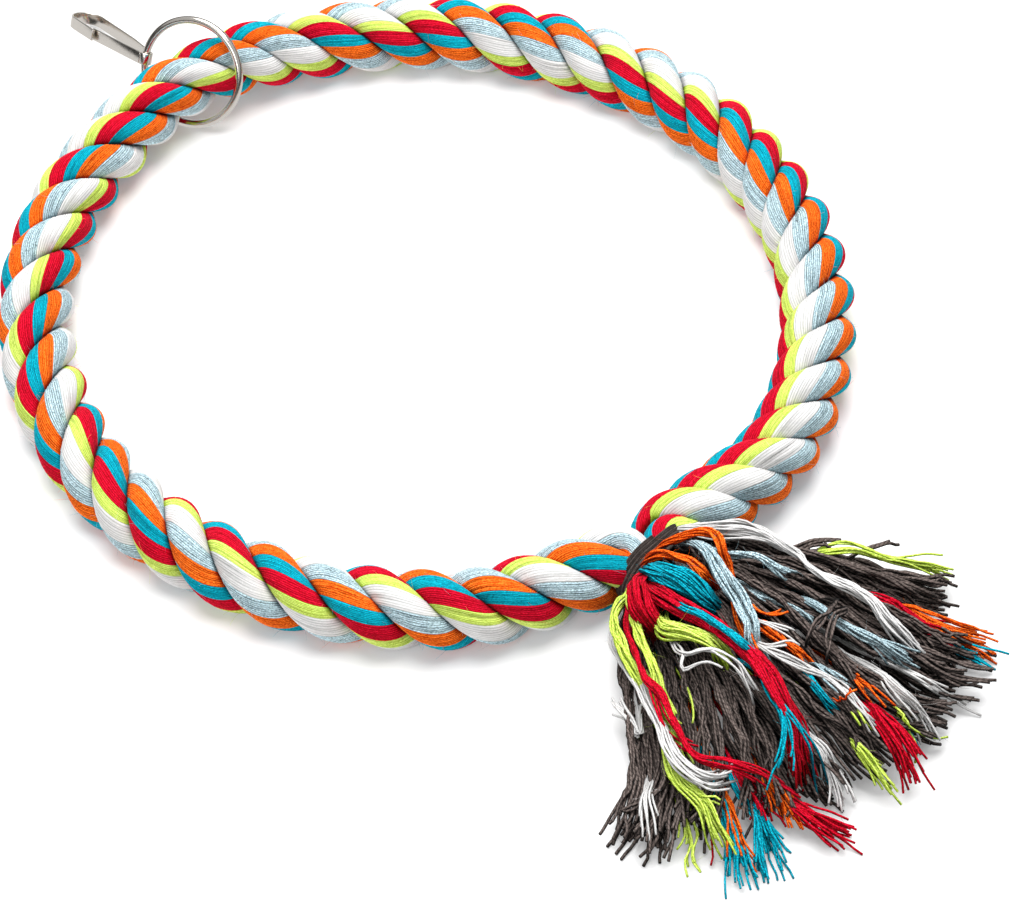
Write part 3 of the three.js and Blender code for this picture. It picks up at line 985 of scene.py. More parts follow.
BUNDLES = (
    Bundle("lime_left", LIME, 17, (
        (-21, -143, 20, 1.6), (-28, -147, 24, 2.4), (-35, -153, 27, 2.6), (-39, -161, 28, 2.6), (-41, -169, 28, 2.6),
        (-42, -178, 27, 2.4), (-43, -186, 26, 2.2), (-44, -195, 25, 2), (-45, -203, 23, 1.8), (-45, -209, 21, 1.6),
        (-45, -214, 17, 1.6),
    ), "tuft_colour_1"),
    Bundle("white_left", WHITE, 18, (
        (-23, -141, 14, 1.4), (-36, -153, 17, 1.8), (-40, -163, 20, 2.2), (-42, -173, 23, 2.5), (-44, -184, 25, 2.5),
        (-47, -194, 26, 2.4), (-49, -204, 26, 2.4), (-52, -213, 26, 2.6), (-53, -222, 26, 2.7), (-51, -229, 25, 2.4),
        (-47, -234, 24, 2.2), (-41, -234, 22, 2.2), (-35, -233, 20, 2),
    ), "tuft_colour_2"),
    Bundle("red_main", RED, 53, (
        (-15, -147, 28, 2.2), (-17, -156, 34, 4.2), (-17, -164, 38, 4.8), (-16, -171, 40, 4.8), (-14, -178, 41, 4.4),
        (-12, -187, 42, 3.4), (-10, -197, 42, 3.4), (-8, -207, 42, 4), (-8, -216, 41, 4), (-9, -224, 39, 3.5),
        (-9, -230, 36, 3), (-9, -235, 31, 3), (-11, -241, 24, 4.2), (-12, -245, 15, 6), (-12, -248, 8, 7),
    ), "tuft_colour_3"),
    Bundle("teal_main", TEAL, 80, (
        (-11, -139, 25, 1.8), (-12, -145, 32, 3.6), (-11, -152, 37, 5), (-9, -159, 40, 5.8), (-7, -165, 40, 5.6),
        (-5, -170, 37, 4.8), (-2, -173, 32, 3.4), (-1, -176, 25, 2.2), (0, -180, 18, 1.6),
    ), "tuft_colour_4"),
    Bundle("orange_loop", ORANGE, 12, (
        (-4, -135, 27, 1.2), (-1, -138, 33, 1.6), (4, -142, 38, 1.9), (9, -146, 42, 2.2), (13, -151, 44, 2.4),
        (13, -156, 44, 2.2), (12, -160, 41, 2), (12, -163, 37, 1.9), (9, -170, 34, 1.8), (5, -181, 35, 2.2),
        (0, -192, 36, 2.8), (-2, -201, 34, 2.6), (-1, -204, 28, 2),
    ), "tuft_colour_5"),
    Bundle("grey_main", GREY, 26, (
        (6, -146, 38, 1.4), (6, -153, 43, 2.4), (6, -159, 44, 3.4), (4, -167, 44.5, 3.9), (3, -174, 44, 3.9),
        (3, -181, 43, 3.5), (2, -187, 42, 3.3), (1, -193, 41, 3.4), (-1, -197, 39, 3.2), (-1, -200, 34, 2.6),
        (0, -205, 27, 2), (0, -211, 20, 1.6),
    ), "tuft_colour_6"),
    Bundle("lime_top", LIME, 14, (
        (40, -159, 20, 1), (47, -167, 22, 1), (52, -170, 25, 1.9), (57, -173, 27, 2.7), (62, -176, 27, 2.7),
        (67, -180, 25, 1.9), (73, -184, 21, 1.5), (81, -187, 16, 1.7), (91, -191, 10, 2.2), (98, -197, 6, 2.8),
    ), "tuft_colour_7"),
    Bundle("orange_arc", ORANGE, 22, (
        (-10, -137, 24, 1.2), (-8, -139, 30, 2.2), (-5, -143, 35, 2.7), (-3, -150, 39, 2.9), (-1, -155, 40, 2.9),
        (0, -161, 39, 2.6), (2, -164, 35, 2), (4, -165, 28, 1.5), (6, -168, 20, 1.2),
    )),
    Bundle("red_front", RED, 81, (
        (-12, -141, 26, 1.8), (-20, -148, 32, 3.8), (-24, -155, 35, 5.4), (-26, -160, 34.5, 5.6),
        (-25, -164, 31, 4.8), (-23, -166, 25, 3.2), (-21, -167, 18, 2),
    )),
    Bundle("teal_streak", TEAL, 8, (
        (-17, -169, 40, 0.8), (-17, -175, 44, 1.2), (-15, -180, 45.5, 1.7), (-13, -188, 46.5, 1.8),
        (-11, -195, 47, 1.7), (-10, -202, 46.5, 1.5), (-7, -206, 41, 1.4), (-10, -217, 38, 1.6), (-11, -224, 38, 1.8),
        (-13, -231, 37, 1.8), (-16, -238, 34, 1.8), (-20, -243, 31, 2.2), (-27, -247, 26, 3), (-33, -250, 20, 4),
    )),
    Bundle("teal_branch", TEAL, 3, (
        (-7, -209, 35, 0.8), (-10, -223, 37, 0.8), (-10, -235, 37, 0.7), (-9, -242, 33, 0.7), (-8, -246, 27, 0.8),
        (-8, -249, 17, 1), (-9, -253, 6, 1.4),
    )),
    Bundle("lime_curl", LIME, 47, (
        (-17, -158, 24, 1.4), (-22, -166, 30, 3), (-24, -173, 34, 4.3), (-22, -178, 37, 4.5), (-19, -183, 38.5, 3.8),
        (-16, -188, 38.5, 3.1), (-14, -192, 36, 2.3), (-12, -195, 31, 1.4), (-9, -198, 24, 0.9),
    )),
    Bundle("lime_inner", LIME, 16, (
        (-22, -146, 22, 1.6), (-27, -155, 28, 2.6), (-31, -163, 30, 2.6), (-34, -171, 30, 2.4),
        (-36, -179, 29.5, 2.3), (-38, -187, 28.5, 2.1), (-41, -194, 27, 2), (-43, -202, 25, 1.8),
        (-45, -209, 22, 1.6), (-45, -214, 18, 1.5), (-45, -220, 13, 1.5),
    )),
    Bundle("lime_low", LIME, 26, (
        (-51, -210, 21, 1.4), (-54, -219, 21, 2.2), (-55, -226, 20, 2.6), (-54, -232, 20, 3), (-53, -239, 19, 3.6),
        (-54, -246, 16, 4.4), (-54, -252, 11, 5.4), (-54, -256, 7, 6),
    )),
    Bundle("lime_hook", LIME, 2, (
        (-53, -232, 20, 0.4), (-51, -239, 21, 0.5), (-48, -244, 19, 0.5), (-42, -246, 16, 0.5), (-35, -245, 13, 0.5),
    )),
    Bundle("lime_bow", LIME, 1, (
        (-48, -229, 7, 0.3), (-50, -236, 7, 0.3), (-53, -240, 6, 0.3), (-56, -241, 5, 0.3), (-59, -238, 4, 0.3),
        (-61, -232, 3, 0.3),
    )),
    Bundle("lime_stray", LIME, 2, (
        (-37, -190, 24, 0.4), (-40, -199, 25, 0.6), (-41, -203, 25, 0.6), (-42, -206, 23, 0.6), (-44, -207, 20, 0.6),
    )),
    Bundle("lime_straw", LIME, 1, (
        (-29, -195, 24, 0.3), (-34, -207, 23, 0.3), (-38, -209, 22, 0.3), (-42, -214, 19, 0.3),
    )),
    Bundle("red_left", RED, 10, (
        (-33, -159, 27, 0.7), (-38, -171, 31, 0.9), (-42, -181, 32, 1.2), (-44, -188, 33, 1.5), (-43, -194, 33, 1.5),
        (-44, -201, 32, 1.5), (-46, -210, 31, 1.4), (-47, -217, 29, 1.4), (-47, -222, 28, 1.6), (-44, -227, 27, 2.4),
        (-39, -231, 26, 2.8), (-34, -235, 24, 2.8), (-29, -239, 20, 2.8), (-25, -244, 16, 3), (-22, -248, 12, 3.2),
        (-19, -251, 8, 3.4),
    )),
    Bundle("red_thin", RED, 3, (
        (-38, -171, 30, 0.6), (-44, -188, 31, 0.7), (-46, -196, 30, 0.7), (-48, -203, 28, 0.7), (-49, -209, 26, 0.7),
        (-48, -216, 25, 0.7), (-43, -222, 22, 0.7),
    )),
    Bundle("white_curl", WHITE, 5, (
        (-22, -168, 27, 0.6), (-25, -177, 31, 0.7), (-28, -184, 35, 0.8), (-27, -189, 38, 1), (-23, -191, 40, 1.3),
        (-19, -194, 41, 1.6), (-16, -200, 41, 1.6), (-14, -205, 39, 1.4), (-14, -210, 36, 1.1), (-13, -214, 31, 0.9),
        (-11, -217, 24, 0.7),
    )),
    Bundle("white_bight", WHITE, 2, (
        (-26, -182, 34, 0.4), (-28, -188, 37, 0.4), (-31, -192, 37, 0.4), (-31, -195, 37, 0.4), (-28, -195, 38, 0.5),
        (-23, -195, 39, 0.5), (-20, -197, 40, 0.6), (-17, -201, 39, 0.7), (-14, -205, 36, 0.7),
    )),
    Bundle("white_ends", WHITE, 4, (
        (-47, -217, 13, 1), (-45, -225, 12, 1.4), (-44, -228, 9, 1.8), (-44, -231, 5, 2.4), (-45, -234, 3, 3),
    )),
    Bundle("white_top", WHITE, 26, (
        (10, -129, 24, 1.4), (13, -135, 30, 2.4), (17, -142, 34, 3.2), (22, -148, 37, 3.8), (28, -153, 38, 3.8),
        (33, -159, 37, 3.2), (36, -165, 35, 2.3), (40, -170, 32, 1.7), (41, -176, 30, 1.5), (42, -184, 32, 1.8),
        (44, -190, 33, 2), (47, -195, 33, 2), (49, -200, 32.5, 2.2), (51, -205, 31, 2.2), (51, -211, 29, 2.8),
        (53, -218, 25, 3), (57, -223, 18, 3), (61, -228, 11, 2.8), (64, -230, 7, 2.8),
    )),
    Bundle("grey_top", GREY, 9, (
        (15, -155, 35, 1.4), (16, -158, 36.5, 1.8), (20, -161, 37, 1.8), (24, -165, 36.5, 1.4), (27, -170, 35, 1),
        (30, -174, 33, 0.8), (35, -177, 29, 0.6),
    )),
    Bundle("grey_shade", GREY, 12, (
        (13, -166, 29, 1.2), (15, -173, 31, 2), (17, -180, 31, 2.2), (22, -187, 30, 2), (26, -194, 28, 1.6),
        (28, -199, 24, 1.2),
    )),
    Bundle("grey_right", GREY, 16, (
        (31, -185, 26, 1), (31, -199, 34, 1.2), (32, -207, 35, 1.8), (35, -214, 34.5, 2.1), (40, -221, 32.5, 2.1),
        (44, -226, 29, 2.4), (49, -229, 23, 2.6), (55, -231, 16, 3),
    )),
    Bundle("grey_end", GREY, 6, (
        (14, -211, 26, 1), (15, -217, 30, 1.3), (15, -223, 31, 1.7), (17, -227, 29, 1.7), (20, -229, 24, 1.3),
    )),
    Bundle("orange_shade", ORANGE, 4, (
        (12, -175, 28, 0.8), (11, -183, 32, 0.9), (14, -188, 32.5, 1), (19, -190, 32, 1), (25, -190, 29, 0.8),
    )),
    Bundle("orange_right", ORANGE, 11, (
        (9, -186, 29, 1.2), (8, -193, 33, 1.8), (9, -200, 34, 2), (11, -206, 33, 2), (13, -210, 30, 1.8),
        (14, -215, 26, 1.6), (17, -221, 19, 1.8),
    )),
    Bundle("white_mid", WHITE, 3, (
        (4, -186, 33, 0.7), (6, -190, 35.5, 0.8), (9, -195, 36, 0.8), (12, -200, 36, 0.8), (14, -205, 35, 0.7),
        (15, -210, 32, 0.7),
    )),
    Bundle("white_strands", WHITE, 7, (
        (0, -189, 32, 0.8), (-1, -196, 36, 1), (0, -202, 37, 1.4), (3, -208, 37, 1.7), (7, -213, 36, 1.8),
        (11, -218, 33, 1.6), (15, -223, 31, 1.2), (18, -231, 29, 1.2), (18, -237, 28, 1.5), (19, -243, 25, 1.7),
        (21, -248, 20, 1.7), (24, -251, 16, 1.6),
    )),
    Bundle("white_wave", WHITE, 3, (
        (1, -193, 34, 0.8), (0, -200, 37.5, 0.9), (2, -204, 38, 0.9), (7, -207, 38, 0.9), (9, -210, 36, 0.8),
        (10, -213, 33, 0.7),
    )),
    Bundle("teal_mid", TEAL, 11, (
        (9, -207, 26, 1.2), (9, -217, 31, 1.6), (9, -224, 31, 2), (10, -229, 29, 2), (12, -233, 25, 1.8),
        (18, -235, 20, 1.8), (20, -238, 15, 1.8),
    )),
    Bundle("orange_mid", ORANGE, 14, (
        (26, -219, 23, 1.4), (26, -228, 26, 2), (26, -234, 26, 2.5), (28, -240, 22, 2.6),
    )),
    Bundle("orange_knot", ORANGE, 4, (
        (14, -232, 27, 0.6), (15, -234, 31, 1.1), (17, -236, 32, 1.2), (22, -234, 30, 1),
    )),
    Bundle("lime_mid", LIME, 4, (
        (17, -232, 22, 0.8), (16, -242, 26, 1), (16, -247, 24, 1.3), (19, -249, 19, 1.6),
    )),
    Bundle("lime_thread", LIME, 1, (
        (33, -241, 20, 0.3), (31, -247, 22, 0.3), (33, -250, 18, 0.3), (37, -254, 12, 0.3), (41, -256, 8, 0.3),
        (46, -257, 6, 0.3),
    )),
    Bundle("white_right", WHITE, 23, (
        (35, -228, 24, 1.4), (35, -235, 26, 1.9), (36, -241, 24, 2.7), (39, -247, 19, 3.2), (41, -251, 12, 3.2),
        (42, -255, 7, 3.2),
    )),
    Bundle("white_end", WHITE, 16, (
        (-3, -240, 22, 1.2), (-3, -248, 17, 1.8), (-2, -253, 11, 3), (-3, -258, 7, 4.5), (-5, -262, 4, 6),
    )),
    Bundle("white_far", WHITE, 7, (
        (48, -236, 20, 1), (54, -241, 15, 1.3), (60, -246, 10, 1.9), (67, -253, 6, 2.6),
    )),
    Bundle("red_right", RED, 37, (
        (24, -234, 21, 1.8), (24, -243, 22, 2.2), (25, -251, 20, 3.4), (25, -259, 17, 4), (25, -265, 12, 4.6),
        (25, -270, 7, 6),
    )),
    Bundle("red_far", RED, 18, (
        (60, -198, 20, 1.5), (65, -207, 18, 2), (69, -216, 14, 3.2), (77, -224, 9, 4),
    )),
    Bundle("orange_far", ORANGE, 33, (
        (64, -203, 17, 1.5), (69, -211, 16, 2), (74, -219, 13, 3), (81, -226, 9, 4), (87, -232, 6, 4.6),
        (90, -238, 5, 5),
    )),
    Bundle("teal_far", TEAL, 10, (
        (71, -220, 10, 1.4), (77, -228, 8, 1.6), (83, -237, 6, 2.2), (87, -242, 4, 2.6),
    )),
    Bundle("lime_right", LIME, 12, (
        (12, -249, 17, 1.2), (13, -255, 15, 1.6), (15, -260, 12, 2.6), (16, -266, 9, 3.8), (18, -271, 5, 5),
    )),
    Bundle("lime_curlet", LIME, 4, (
        (34, -242, 18, 0.8), (34, -250, 14, 1.2), (34, -256, 10, 1.6), (32, -259, 6, 2),
    )),
    Bundle("teal_back", TEAL, 8, (
        (32, -243, 13, 1), (34, -250, 10, 1.5), (34, -256, 6, 2), (32, -262, 4, 2.4),
    )),
    Bundle("orange_low", ORANGE, 28, (
        (-23, -239, 12, 1.6), (-23, -249, 10, 2.4), (-23, -255, 7, 4), (-24, -261, 4, 5.6),
    )),
    Bundle("red_low", RED, 41, (
        (-22, -243, 10, 1.6), (-20, -256, 9, 2.8), (-15, -267, 6, 5), (-10, -277, 4, 6.5),
    )),
    Bundle("red_tuft", RED, 29, (
        (-31, -234, 12, 1.6), (-31, -243, 10, 2.6), (-31, -249, 8, 4), (-32, -253, 5, 5),
    )),
    Bundle("teal_low", TEAL, 37, (
        (-34, -236, 10, 1.6), (-34, -248, 8, 2.4), (-36, -257, 5, 5), (-39, -266, 3, 8), (-41, -273, 2, 10),
    )),
    Bundle("teal_tuft", TEAL, 26, (
        (-44, -239, 9, 1.6), (-49, -254, 6, 2.4), (-54, -263, 4, 3.8), (-57, -270, 3, 4.4),
    )),
    Bundle("orange_tuft", ORANGE, 31, (
        (-41, -236, 10, 1.6), (-47, -251, 8, 2.4), (-49, -258, 5, 4.4), (-50, -262, 4, 5.6),
    )),
    Bundle("lime_tips", LIME, 7, (
        (-55, -226, 9, 1), (-60, -241, 6, 1.4), (-67, -247, 4, 4), (-70, -255, 3, 6.5),
    )),
    Bundle("lime_edge", LIME, 3, (
        (-61, -232, 8, 0.8), (-66, -240, 5, 1), (-71, -244, 4, 1.4), (-75, -248, 3, 2),
    )),
    Bundle("white_tips", WHITE, 8, (
        (-52, -204, 6, 1), (-60, -214, 10, 1.4), (-69, -224, 17, 1.9), (-74, -233, 15, 2.4), (-78, -239, 8, 3.2),
    )),
    Bundle("white_edge", WHITE, 10, (
        (-52, -196, 14, 1), (-52, -187, 14, 1.8), (-51, -178, 12, 2.2), (-49, -169, 9, 2.8),
    )),
    Bundle("red_tip", RED, 1, (
        (-50, -237, 8, 0.3), (-55, -248, 5, 0.3), (-59, -252, 4, 0.3), (-63, -255, 3, 0.3),
    )),
    Bundle("charcoal_loop_a", CHARCOAL, 3, (
        (40, -196, 32, 0.9), (31, -201, 38, 1), (25, -205, 39, 1.2), (18, -209, 38, 1.3), (14, -212, 34, 1.2),
        (14, -215, 28, 1),
    )),
    Bundle("charcoal_loop_b", CHARCOAL, 3, (
        (37, -199, 33, 0.9), (29, -204, 39, 1), (22, -210, 40, 1.2), (17, -216, 38, 1.2), (16, -220, 32, 1.1),
    )),
    Bundle("charcoal_stick", CHARCOAL, 2, (
        (44, -168, 24, 0.9), (56, -176, 22, 0.9), (64, -177, 21, 0.9), (74, -177, 18, 0.9), (81, -178, 16, 0.8),
        (88, -179, 14, 0.8),
    )),
    Bundle("charcoal_arm", CHARCOAL, 2, (
        (-52, -211, 17, 0.8), (-60, -219, 17, 0.9), (-65, -220, 16, 0.9), (-70, -219, 14, 0.9), (-76, -217, 11, 0.9),
        (-81, -217, 8, 0.9),
    )),
    Bundle("charcoal_over", CHARCOAL, 6, (
        (6, -145, 37, 1.6), (6, -155, 39, 2.6), (5, -161, 37, 3.2), (3, -167, 33, 3.4), (1, -174, 30, 4),
    )),
    Bundle("charcoal_edge", CHARCOAL, 7, (
        (25, -153, 30, 3), (33, -161, 31, 3.4), (43, -165, 28, 3), (52, -166, 26, 2.6), (61, -169, 22, 2),
    )),
    Bundle("core_1", CHARCOAL, 44, (
        (-19, -144, 10, 5), (-33, -161, 11, 7), (-43, -180, 11, 8), (-53, -198, 10, 8), (-63, -215, 8, 8),
        (-75, -227, 6, 10), (-84, -231, 5, 12),
    ), "tuft_core_1"),
    Bundle("core_2", CHARCOAL, 44, (
        (-16, -148, 13, 6), (-27, -169, 13, 8), (-37, -190, 12, 8), (-48, -209, 10, 8), (-63, -226, 8, 9),
        (-77, -240, 6, 11),
    ), "tuft_core_2"),
    Bundle("core_3", CHARCOAL, 50, (
        (-14, -148, 18, 6), (-20, -177, 20, 8), (-28, -200, 19, 8), (-36, -218, 14, 9), (-47, -232, 9, 10),
        (-59, -241, 6, 13),
    ), "tuft_core_3"),
    Bundle("core_4", CHARCOAL, 56, (
        (-11, -147, 21, 6), (-15, -187, 24, 8), (-18, -210, 23, 9), (-23, -228, 18, 9), (-27, -241, 11, 11),
        (-34, -251, 6, 13),
    ), "tuft_core_4"),
    Bundle("core_5", CHARCOAL, 50, (
        (-7, -147, 24, 6), (-7, -189, 25, 8), (-6, -216, 24, 8), (-5, -235, 19, 9), (-4, -247, 12, 10),
        (-2, -257, 6, 11),
    ), "tuft_core_5"),
    Bundle("core_6", CHARCOAL, 56, (
        (-1, -146, 27, 6), (3, -191, 28, 8), (7, -221, 26, 9), (12, -240, 20, 9), (16, -251, 12, 9), (20, -258, 8, 9),
    ), "tuft_core_6"),
    Bundle("core_7", CHARCOAL, 56, (
        (5, -145, 27, 6), (15, -180, 27, 8), (22, -213, 25, 9), (31, -236, 19, 9), (42, -246, 12, 9),
        (53, -253, 7, 9),
    ), "tuft_core_7"),
    Bundle("core_8", CHARCOAL, 34, (
        (9, -142, 26, 6), (24, -171, 27, 7), (37, -196, 26, 7), (49, -219, 19, 7), (60, -237, 11, 8),
        (74, -248, 6, 10),
    )),
    Bundle("core_9", CHARCOAL, 29, (
        (11, -139, 25, 5), (28, -162, 28, 6), (45, -182, 26, 6), (57, -205, 19, 7), (71, -224, 11, 8),
        (83, -237, 6, 10),
    )),
    Bundle("core_10", CHARCOAL, 29, (
        (14, -135, 22, 4), (30, -156, 27, 5), (46, -173, 26, 6), (62, -190, 20, 7), (77, -203, 12, 8),
        (86, -208, 7, 8),
    )),
    Bundle("core_11", CHARCOAL, 21, (
        (16, -132, 18, 4), (44, -161, 18, 5), (61, -178, 18, 5), (75, -192, 13, 6), (89, -200, 9, 6),
        (95, -204, 7, 6),
    )),
    Bundle("core_under_1", CHARCOAL, 95, (
        (-11, -144, 12, 7), (-27, -178, 10, 12), (-46, -208, 7, 14), (-63, -233, 4, 16),
    )),
    Bundle("core_under_2", CHARCOAL, 95, (
        (-3, -143, 12, 7), (-4, -194, 10, 13), (-12, -231, 7, 15), (-17, -251, 4, 16),
    )),
    Bundle("core_under_3", CHARCOAL, 95, (
        (9, -139, 12, 7), (24, -189, 10, 13), (31, -226, 7, 14), (34, -248, 4, 15),
    )),
    Bundle("core_under_4", CHARCOAL, 92, (
        (15, -134, 12, 6), (42, -171, 10, 11), (58, -209, 7, 12), (67, -236, 4, 13),
    )),
)


@dataclass(frozen=True)
class Yarn:
    """A loose yarn's thickness, bends, clumps and painted shade.

    Attributes:
        radius: Half its thickness.
        kink: Size of its short bends.
        sway: Size of its clump's long bends.
        hollow: Share of a tuft's middle that is left empty.
        clump: How many yarns twist together.
        lit: Upward slope of a side that is painted fully lit, with no shade.
        dark: Upward slope of a side that is painted fully shaded.
        sunk: How much darker the lowest yarns of a tuft are painted, as shade under the yarns above.
    """

    radius: float
    kink: float
    sway: float
    hollow: float
    clump: int
    lit: float
    dark: float
    sunk: float


@dataclass
class Tassel:
    """Loose yarn ends fanning out of the binding over the floor."""

    path: RopePath
    core_yarn: Yarn = Yarn(
        radius=0.66 * MM, kink=0.45 * MM, sway=1.7 * MM, hollow=0.0, clump=4, lit=1.0, dark=0.5, sunk=0.5
    )
    cover_yarn: Yarn = Yarn(
        radius=0.47 * MM, kink=0.14 * MM, sway=0.7 * MM, hollow=0.3, clump=3, lit=0.68, dark=0.22, sunk=0.2
    )
    points: int = 44
    sides: int = 6
    first_seed: int = 100
    root_back: float = 6.0 * MM
    root_radius: float = 1.4 * MM
    root_half: float = 0.5
    root_share: Pair = (0.6, 0.65)
    root_height: Pair = (8 * MM, 20 * MM)
    hidden_height: float = 13.0 * MM
    hidden_run: float = 40.0 * MM
    flatness: float = 0.8
    bound_share: float = 0.25
    kink_length: float = 14.0 * MM
    kink_spread: Pair = (0.7, 1.4)
    clump_lay: float = 34.0 * MM
    lay_spread: Pair = (0.7, 1.3)
    clump_turn: float = 2.4
    clump_inset: float = 0.6
    clump_limit: float = 0.8
    clump_spread: Pair = (0.5, 1.1)
    wave_length: float = 30.0 * MM
    wave_spread: Pair = (0.8, 1.3)
    sway_sizes: Triple = (1.0, 0.5, 0.4)
    slow_sways: tuple[Pair, ...] = ((0.6, 1.3), (1.6, 2.8))
    lying: float = 0.6
    twist: float = 0.9
    turn_strays: Triple = (0.2, 0.35, 0.3)
    flare: float = 2.6 * MM
    flare_power: int = 6
    shortest: float = 0.88
    sunk_power: float = 1.5
    texture_step: float = 3.7
    fuzz: Fuzz = Fuzz(2, (1.5 * MM, 5.5 * MM))
    fuzz_from: int = 8
    made: list[tuple[Object, Bundle]] = field(default_factory=list)

    def build(self, materials: Cottons) -> None:
        """Makes every tuft.

        Args:
            materials: The cotton materials by colour.
        """
        for number, bundle in enumerate(BUNDLES):
            rng = np.random.default_rng(self.first_seed + number)
            self.made.append((self.tuft(bundle, materials[bundle.colour], rng), bundle))

    def guide(self, bundle: Bundle) -> tuple[np.ndarray, np.ndarray]:
        """Runs a tuft's guide line from inside the neck.

        Args:
            bundle: The tuft.

        Returns:
            The line's points, and the tuft's radius at each.
        """
        chosen = np.array(bundle.guide, float) * MM
        half = self.path.neck_half + self.root_half * self.path.neck_radius
        start = chosen[0]
        x = np.clip(self.root_share[0] * start[0], -half, half)
        z = np.clip(self.root_share[1] * start[2], *self.root_height)
        root = np.array([x, self.path.neck_end + self.root_back, z, min(start[3], self.root_radius)])
        before = [root]
        if np.linalg.norm(start[:3] - root[:3]) > self.hidden_run:
            low = 0.5 * (root + start)
            low[2] = self.hidden_height
            before.append(low)
        line = resample(np.concatenate([before, chosen]), self.points)
        return line[:, :3], line[:, 3]

    def wander(
        self,
        share: np.ndarray,
        free: np.ndarray,
        sizes: tuple[float, ...],
        cycles: tuple[Pair, ...],
        rng: Generator,
    ) -> np.ndarray:
        """Sums slow waves in random directions.

        Args:
            share: Place along the yarn, 0 to 1.
            free: How free the yarn is at each place, 0 to 1.
            sizes: Each wave's size.
            cycles: Least and most waves along the yarn, for each size.
            rng: Source of the unevenness.

        Returns:
            The way each place moves aside.
        """
        moved = np.zeros((len(share), 3))
        for size, (least, most) in zip(sizes, cycles):
            wave = np.sin(FULL_TURN * rng.uniform(least, most) * share + rng.uniform(0.0, LAST_PHASE))
            moved += rng.normal(0.0, size, 3)[None, :] * (free * wave)[:, None]
        moved[:, 2] *= self.lying
        return moved

    def tuft(self, bundle: Bundle, material: Material, rng: Generator) -> Object:
        """Makes one tuft of yarns.

        Args:
            bundle: The tuft.
            material: Its material.
            rng: Source of the yarns' unevenness.

        Returns:
            The tuft's object.
        """
        line, radius = self.guide(bundle)
        _, first, second = frames(line)
        length = lengths(line)[-1]
        share = np.linspace(0.0, 1.0, self.points)
        free = smooth(share / self.bound_share)
        yarn = self.core_yarn if bundle.colour is CHARCOAL else self.cover_yarn
        clumps = math.ceil(bundle.yarns / yarn.clump)
        apart = yarn.radius / math.sin(math.pi / yarn.clump)
        waves, kinks = length / self.wave_length, length / self.kink_length
        sways = tuple(size * yarn.sway for size in self.sway_sizes)
        sway_cycles = (*self.slow_sways, tuple(spread * waves for spread in self.wave_spread))
        kink_cycles = (tuple(spread * kinks for spread in self.kink_spread),)
        spot_stray, twist_stray, yarn_stray = self.turn_strays
        sides = np.linspace(*ROUND_YARN, self.sides + 1)

        def aside(reach: np.ndarray, angle: np.ndarray, flatness: float = 1.0) -> np.ndarray:
            """Gives the way from the guide to a place round it."""
            across, up = flatness * reach * np.cos(angle), reach * np.sin(angle)
            return across[:, None] * first + up[:, None] * second

        sweep = Sweep()
        loose = rng.spawn(1)[0]
        for clump in range(clumps):
            place = math.sqrt(yarn.hollow + (1 - yarn.hollow) * (clump + 0.5) / clumps)
            angle = self.clump_turn * clump + rng.normal(0.0, spot_stray)
            angle = angle + (self.twist + rng.normal(0.0, twist_stray)) * share
            reach = np.maximum(radius - yarn.radius - self.clump_inset * apart, 0.0) * place
            heart = line + aside(reach, angle, self.flatness) + self.wander(share, free, sways, sway_cycles, rng)
            lay = rng.uniform(*self.lay_spread) * length / self.clump_lay
            for number in range(clump * yarn.clump, min((clump + 1) * yarn.clump, bundle.yarns)):
                around = FULL_TURN * (number / yarn.clump + lay * share) + rng.normal(0.0, yarn_stray)
                strand = heart + self.wander(share, free, (yarn.kink,), kink_cycles, rng)
                beside = free * np.minimum(apart, self.clump_limit * radius) * rng.uniform(*self.clump_spread)
                strand += aside(beside, around)
                strand += rng.normal(0.0, self.flare, 3)[None, :] * (share**self.flare_power)[:, None]
                strand = between(strand, share, np.linspace(0.0, rng.uniform(self.shortest, 1.0), self.points))
                strand[:, 2] = np.maximum(strand[:, 2], yarn.radius + FLOOR)
                way, ring = outline(strand, self.sides)
                # Painted shade: a yarn's sides are darker the less they face upwards, and the yarns that lie low in
                # the tuft are darker still.
                sink = np.clip((line[:, 2] + radius - strand[:, 2]) / (2 * radius + yarn.radius), 0.0, 1.0)
                dark = np.clip((yarn.lit - ring[:, :, 2]) / (yarn.lit - yarn.dark), 0.0, 1.0)
                dark = np.clip(dark + yarn.sunk * (sink**self.sunk_power)[:, None], 0.0, 1.0)
                gone = lengths(strand) / YARN_UNIT + self.texture_step * number
                sweep.add(strand[:, None, :] + yarn.radius * ring, gone, number + sides, dark)
                at = loose.integers(self.fuzz_from, self.points, self.fuzz.count)
                out = ring[at, loose.integers(0, self.sides, self.fuzz.count)]
                self.fuzz.add(sweep, strand[at] + yarn.radius * out, out, way[at], loose)
        return sweep.to_object(f"yarns_{bundle.name}", material)

    def dress(self) -> None:
        """Ties the tufts to the rope's body and lets them stand for the tassel's solids."""
        for piece, bundle in self.made:
            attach(piece, Body.ROPE.value)
            if bundle.node:
                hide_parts(bundle.node)


def primitive(name: str, kind: Callable[..., set[str]], **sizes: object) -> Object:
    """Adds a plain shape.

    Args:
        name: The piece's name.
        kind: The operator that makes the shape.
        **sizes: The shape's sizes.

    Returns:
        The new object, selected alone.
    """
    bpy.ops.object.select_all(action="DESELECT")
    kind(**sizes)
    made = bpy.context.object
    made.name = name
    return made


def apply_all(piece: Object) -> None:
    """Applies a piece's modifiers and its place, so that it sits at the origin unturned.

    Args:
        piece: The piece.
    """
    bpy.ops.object.select_all(action="DESELECT")
    piece.select_set(True)
    bpy.context.view_layer.objects.active = piece
    for modifier in list(piece.modifiers):
        bpy.ops.object.modifier_apply(modifier=modifier.name)
    bpy.ops.object.transform_apply(location=True, rotation=True, scale=True)


